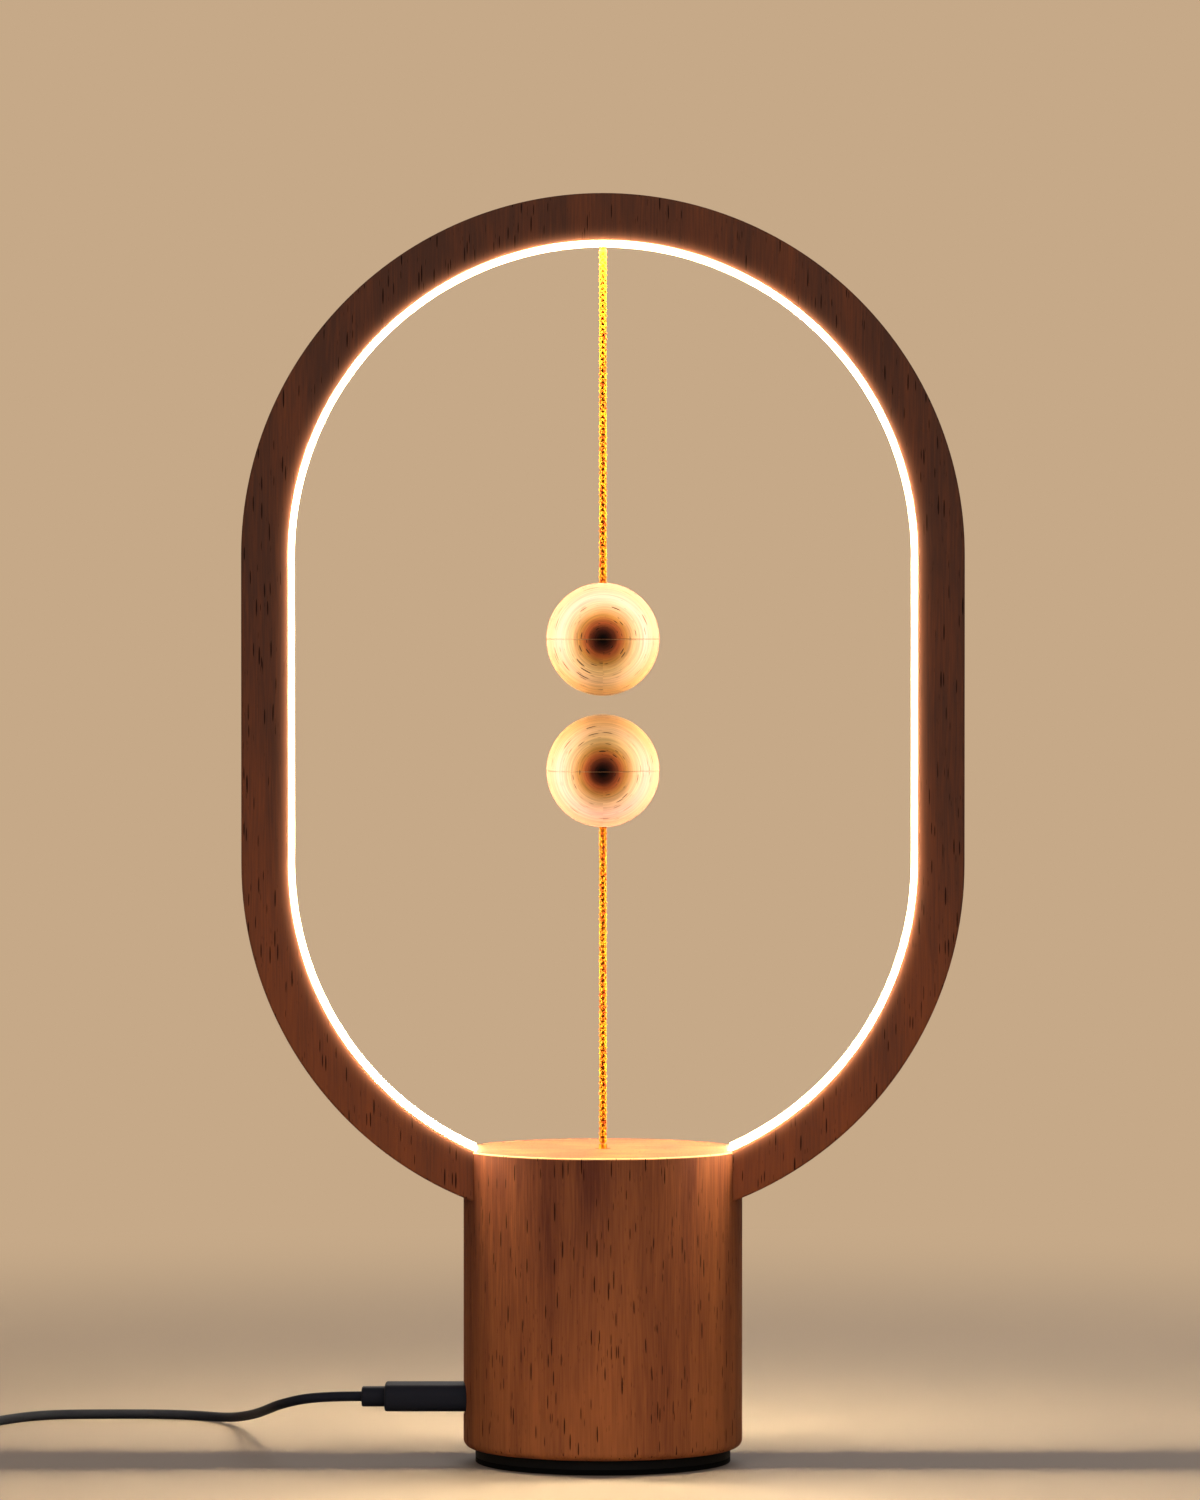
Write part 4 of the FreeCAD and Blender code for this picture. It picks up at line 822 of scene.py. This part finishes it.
def half_ball(name, centre, side, pocket_radius, pocket_depth, finish, hole=0.0):
    """Half of a ball, above its centre for side 1 and below it for -1, with a pocket inside."""
    shape = bmesh.new()
    rim_radius = math.sqrt(BALL_RADIUS**2 - BALL_EDGE**2)
    rim = shape.verts.new((rim_radius, 0, BALL_EDGE))
    pole_angle = math.acos(hole / BALL_RADIUS) - math.asin(BALL_EDGE / BALL_RADIUS)
    bmesh.ops.spin(shape, geom=[rim], cent=(0, 0, 0), axis=-Y_AXIS, angle=pole_angle, steps=48)
    points = [
        rim.co,
        (rim_radius - BALL_EDGE, 0, 0),
        (pocket_radius, 0, 0),
        (pocket_radius, 0, pocket_depth),
        (hole, 0, pocket_depth),
    ]
    inner = outline(shape, points)
    if hole:
        top = max(shape.verts, key=lambda v: v.co.z)
        shape.edges.new((inner[-1], top))
    bmesh.ops.remove_doubles(shape, verts=shape.verts, dist=MERGE)
    turn(shape)
    bmesh.ops.scale(shape, verts=shape.verts, vec=(1, 1, side))
    bmesh.ops.translate(shape, verts=shape.verts, vec=(0, 0, centre))
    return finished(name, shape, finish, sharp_over=30)


# Cords


def points_along(route, name):
    """Points along the route's own line, and that line's tool curve removed again."""
    curve = line_through(route, name)
    mesh = bpy.data.meshes.new_from_object(curve)
    points = [v.co.copy() for v in mesh.vertices]
    bpy.data.meshes.remove(mesh)
    bpy.data.objects.remove(curve)
    return points


def evenly(points, step):
    """The line again, with points this far apart."""
    spaced, carried = [points[0]], 0.0
    for first, second in zip(points, points[1:]):
        run = (second - first).length
        reach = step - carried
        while reach <= run:
            spaced.append(first.lerp(second, reach / run))
            reach += step
        carried = run - (reach - step)
    return spaced + [points[-1]]


def braid(name, route, finish):
    """A round braid of strands that pass over and under each other, along a nearly upright route."""
    line = evenly(points_along(route, name), BRAID_LAY / BRAID_STEPS)
    data = bpy.data.curves.new(name, "CURVE")
    data.dimensions = "3D"
    data.bevel_depth = STRAND_RADIUS
    data.bevel_resolution = 1
    data.use_fill_caps = True
    middle = CORD_DIAMETER / 2 - STRAND_RADIUS - STRAND_WEAVE
    for strand in range(STRANDS):
        way = 1 if strand % 2 else -1
        spline = data.splines.new("POLY")
        spline.points.add(len(line) - 1)
        for n, (control, place) in enumerate(zip(spline.points, line)):
            turned = 2 * math.pi * n / BRAID_STEPS
            angle = way * turned + 2 * math.pi * (strand // 2) / (STRANDS / 2)
            radius = middle + way * STRAND_WEAVE * math.cos(STRANDS / 2 * turned)
            x, y = place.x + radius * math.cos(angle), place.y + radius * math.sin(angle)
            control.co = (x, y, place.z, 1)
    curve = bpy.data.objects.new(name, data)
    bpy.context.scene.collection.objects.link(curve)
    mesh = bpy.data.meshes.new_from_object(curve)
    bpy.data.objects.remove(curve)
    core = bpy.data.meshes.new_from_object(line_through(route, name + "_core", diameter=2 * CORE_RADIUS))
    bpy.data.objects.remove(bpy.data.objects[name + "_core"])
    shape = bmesh.new()
    shape.from_mesh(mesh)
    shape.from_mesh(core)
    return finished(name, shape, finish, 60), line


def ball_cord(name, route, body, node):
    """A ball's cord, from its bend at the wood to its end inside the ball."""
    cord, line = braid(name, route, CORD)
    fit(cord, body, "cord", node)


def upright_route(start, end):
    """Control points of a ball's cord, straight up or down from its bend to its end."""
    way = 1 if end > start else -1
    return [(0, 0, z) for z in (start, start + way * 10 * MM, start + way * 40 * MM, end)]


# Power lead


def coil_route():
    """Control points of the neat coil, wound clockwise as seen from above.

    Each turn stops short of a full round, and its last step moves over to the next turn's place,
    so the crossings follow one another round the coil.
    """
    turn_steps = 360 // COIL_STEP_DEGREES - 2
    points = []
    for step in range(COIL_STEPS):
        inwards, upwards = COIL_TURNS[step // turn_steps]
        radius = COIL_MEAN_RADIUS + (1.5 - inwards) * COIL_PITCH
        angle = -math.radians((step + 1) * COIL_STEP_DEGREES)
        place = Vector((math.cos(angle), math.sin(angle), 0)) * radius
        points.append(COIL_CENTRE + place + Vector((0, 0, (0.5 + upwards) * COIL_PITCH)))
    return points


def plug_block(name, low, high, corner, back_edge):
    """A moulded block of the slim plug, soft along its length and at its back edge."""
    shape = box_shape(low, high)
    soften(shape, along(shape, X_AXIS), corner, 8)
    back = [e for e in shape.edges if all(v.co.x < low.x + MERGE for v in e.verts)]
    soften(shape, back, back_edge, 4)
    return finished(name, shape, LEAD_SKIN)


def far_plug_shell():
    """The far plug's bent steel shell: a flat tube with two latch windows through each broad side."""
    low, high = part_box("usb_a_shell")
    wall = Vector((SHELL_WALL, 0, SHELL_WALL))
    shape = box_shape(low, high)
    soften(shape, along(shape, Y_AXIS), SHELL_CORNER, 4)
    inside = box_shape(low + wall - PAST * Y_AXIS, high - wall + PAST * Y_AXIS)
    soften(inside, along(inside, Y_AXIS), SHELL_INNER_CORNER, 3)
    cutters = [inside]
    middle = (low.x + high.x) / 2
    for side in (-1, 1):
        x, y = middle + side * WINDOW_OUT - WINDOW_WIDTH / 2, low.y + WINDOW_START
        far = (x + WINDOW_WIDTH, y + WINDOW_LENGTH, high.z + PAST)
        cutters.append(box_shape((x, y, low.z - PAST), far))
    return carve("far_plug_shell", shape, cutters, FINISHES["steel"])


def foot_pad():
    """A disc of foam with softened edges."""
    shape = bmesh.new()
    points = [(0, 0, 0), (FOOT_RADIUS, 0, 0), (FOOT_RADIUS, 0, PAD_TOP), (0, 0, PAD_TOP)]
    corners = outline(shape, points)
    rounded(shape, corners[1:3], PAD_EDGE, 3)
    turn(shape)
    return finished("foam_foot_pad", shape, FOOT_FOAM)


# The pieces, each on its body and in place of its parts

ring = finished("wooden_ring", ring_body(grooved=True), RING_WOOD)
fit(ring, "root", "ring_wood", "ring_frame")
fit(wooden_base(), "root", "base_wood", "base_body")
fit(light_band(), "root", "diffuser", "light_diffuser")
fit(foot_pad(), "root", "foot_foam", "foot_pad")

# Part, height of the ball's centre, side, pocket, wood, hole for the cord and body
BALL_HALVES = [
    ("upper_ball_top", UPPER_BALL, 1, KNOT_POCKET, UPPER_BALL_WOOD, BALL_HOLE, "upper_pendulum"),
    ("upper_ball_bottom", UPPER_BALL, -1, MAGNET_POCKET, UPPER_BALL_WOOD, 0.0, "upper_pendulum"),
    ("lower_ball_top", LOWER_BALL, 1, MAGNET_POCKET, LOWER_BALL_WOOD, 0.0, "lower_pendulum"),
    ("lower_ball_bottom", LOWER_BALL, -1, KNOT_POCKET, LOWER_BALL_WOOD, BALL_HOLE, "lower_pendulum"),
]
for node, centre, side, pocket, wood, hole, body in BALL_HALVES:
    half = half_ball(node.replace("ball", "wooden_ball"), centre, side, *pocket, wood, hole)
    fit(half, body, "ball_wood", node)

UPPER_CORD_ROUTE = upright_route(UPPER_PIVOT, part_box("upper_cord")[0].z)
LOWER_CORD_ROUTE = upright_route(LOWER_PIVOT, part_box("lower_cord")[1].z)
ball_cord("upper_braided_cord", UPPER_CORD_ROUTE, "upper_pendulum", "upper_cord")
ball_cord("lower_braided_cord", LOWER_CORD_ROUTE, "lower_pendulum", "lower_cord")

plug = plug_block("plug_overmould", PLUG_LOW, PLUG_HIGH, PLUG_CORNER, PLUG_BACK_EDGE)
fit(plug, "power_lead", "lead", "inlet_plug_body")
relief = plug_block("plug_strain_relief", RELIEF_LOW, RELIEF_HIGH, RELIEF_CORNER, RELIEF_BACK_EDGE)
fit(relief, "power_lead", "lead", "inlet_plug_relief")
route = [LEAD_EXIT] + LEAD_ROUTE + coil_route() + TAIL_ROUTE
lead = line_through(route, "lead", diameter=LEAD_DIAMETER, finish=LEAD_SKIN)
fit(lead, "power_lead", "lead", "power_cable", "cable_coil")
shell = fit(far_plug_shell(), "power_lead", "steel", "usb_a_shell")


# Room, light and camera

FLOOR_COLOUR = "7e7066"
FLOOR_RADIUS = 6
FLOOR_FADE = (0.06, 0.5)  # from the lamp's middle, over which the floor turns into the backdrop
BACKDROP_COLOUR = "c6a988"
ROOM_STRENGTH = 0.27
LAMP_MIDDLE = (0, 0, 0.1)
# Each soft light: its name, place, size and power, and the place that it is aimed at
SOFT_LIGHTS = [
    ("front_left", (-0.55, -1.3, 0.8), 0.5, 5.7, LAMP_MIDDLE),
    ("front_right", (0.55, -1.3, 0.8), 0.5, 5.7, LAMP_MIDDLE),
    ("low_front", (0, -0.5, 0.03), 0.3, 0.3, (0, 0, 0.03)),
    ("back", (0.2, 1.3, 0.6), 0.8, 7, LAMP_MIDDLE),
]


def pale_floor():
    """A large pale floor that turns into the backdrop's colour behind the lamp."""
    material, tree, place = start_material("pale_floor")
    distance = add(tree, "VectorMath", {0: place}, operation="LENGTH").outputs["Value"]
    fade = {"Value": distance, "From Min": FLOOR_FADE[0], "From Max": FLOOR_FADE[1]}
    fade = add(tree, "MapRange", fade, interpolation_type="SMOOTHSTEP")
    seen = add(tree, "LightPath").outputs["Is Camera Ray"]
    share = add(tree, "Math", {0: fade, 1: seen}, operation="MULTIPLY")
    matt = {"Base Color": linear(FLOOR_COLOUR), "Roughness": 0.8, "Specular IOR Level": 0.1}
    matt = add(tree, "BsdfPrincipled", matt)
    backdrop = add(tree, "Emission", {"Color": linear(BACKDROP_COLOUR)})
    add(tree, "OutputMaterial", {"Surface": add(tree, "MixShader", {0: share, 1: matt, 2: backdrop})})
    shape = bmesh.new()
    bmesh.ops.create_circle(shape, cap_ends=True, segments=64, radius=FLOOR_RADIUS)
    finished("floor", shape, material)


def soft_light(name, place, size, power, aim):
    """A square soft light."""
    light = bpy.data.lights.new(name, "AREA")
    light.size = size
    light.energy = power
    lamp = bpy.data.objects.new(name, light)
    lamp.location = place
    lamp.rotation_euler = (Vector(aim) - Vector(place)).to_track_quat("-Z", "Y").to_euler()
    lamp.visible_camera = False
    bpy.context.scene.collection.objects.link(lamp)


def room_light(strength):
    """Even light from all round, and the backdrop's colour wherever it is seen or mirrored."""
    world = bpy.data.worlds.new("room")
    world.use_nodes = True
    tree = world.node_tree
    tree.nodes.clear()
    path = add(tree, "LightPath").outputs
    seen = add(tree, "Math", {0: path["Is Camera Ray"], 1: path["Is Glossy Ray"]}, operation="MAXIMUM")
    seen = add(tree, "Math", {0: seen, 1: path["Is Transmission Ray"]}, operation="MAXIMUM")
    even = add(tree, "Background", {"Color": linear("fff6ea"), "Strength": strength})
    backdrop = add(tree, "Background", {"Color": linear(BACKDROP_COLOUR)})
    add(tree, "OutputWorld", {"Surface": add(tree, "MixShader", {0: seen, 1: even, 2: backdrop})})
    bpy.context.scene.world = world


def camera_in_front():
    """The camera, level but for a slight tilt down."""
    data = bpy.data.cameras.new("camera")
    data.sensor_width = 36
    data.lens = CAMERA_LENS
    data.clip_end = 20
    camera = bpy.data.objects.new("camera", data)
    camera.location = CAMERA_PLACE
    camera.rotation_euler = (math.pi / 2 - CAMERA_DOWN, 0, 0)
    bpy.context.scene.collection.objects.link(camera)
    bpy.context.scene.camera = camera


pale_floor()
room_light(ROOM_STRENGTH)
for light in SOFT_LIGHTS:
    soft_light(*light)
camera_in_front()

bpy.context.scene.view_settings.view_transform = "Standard"
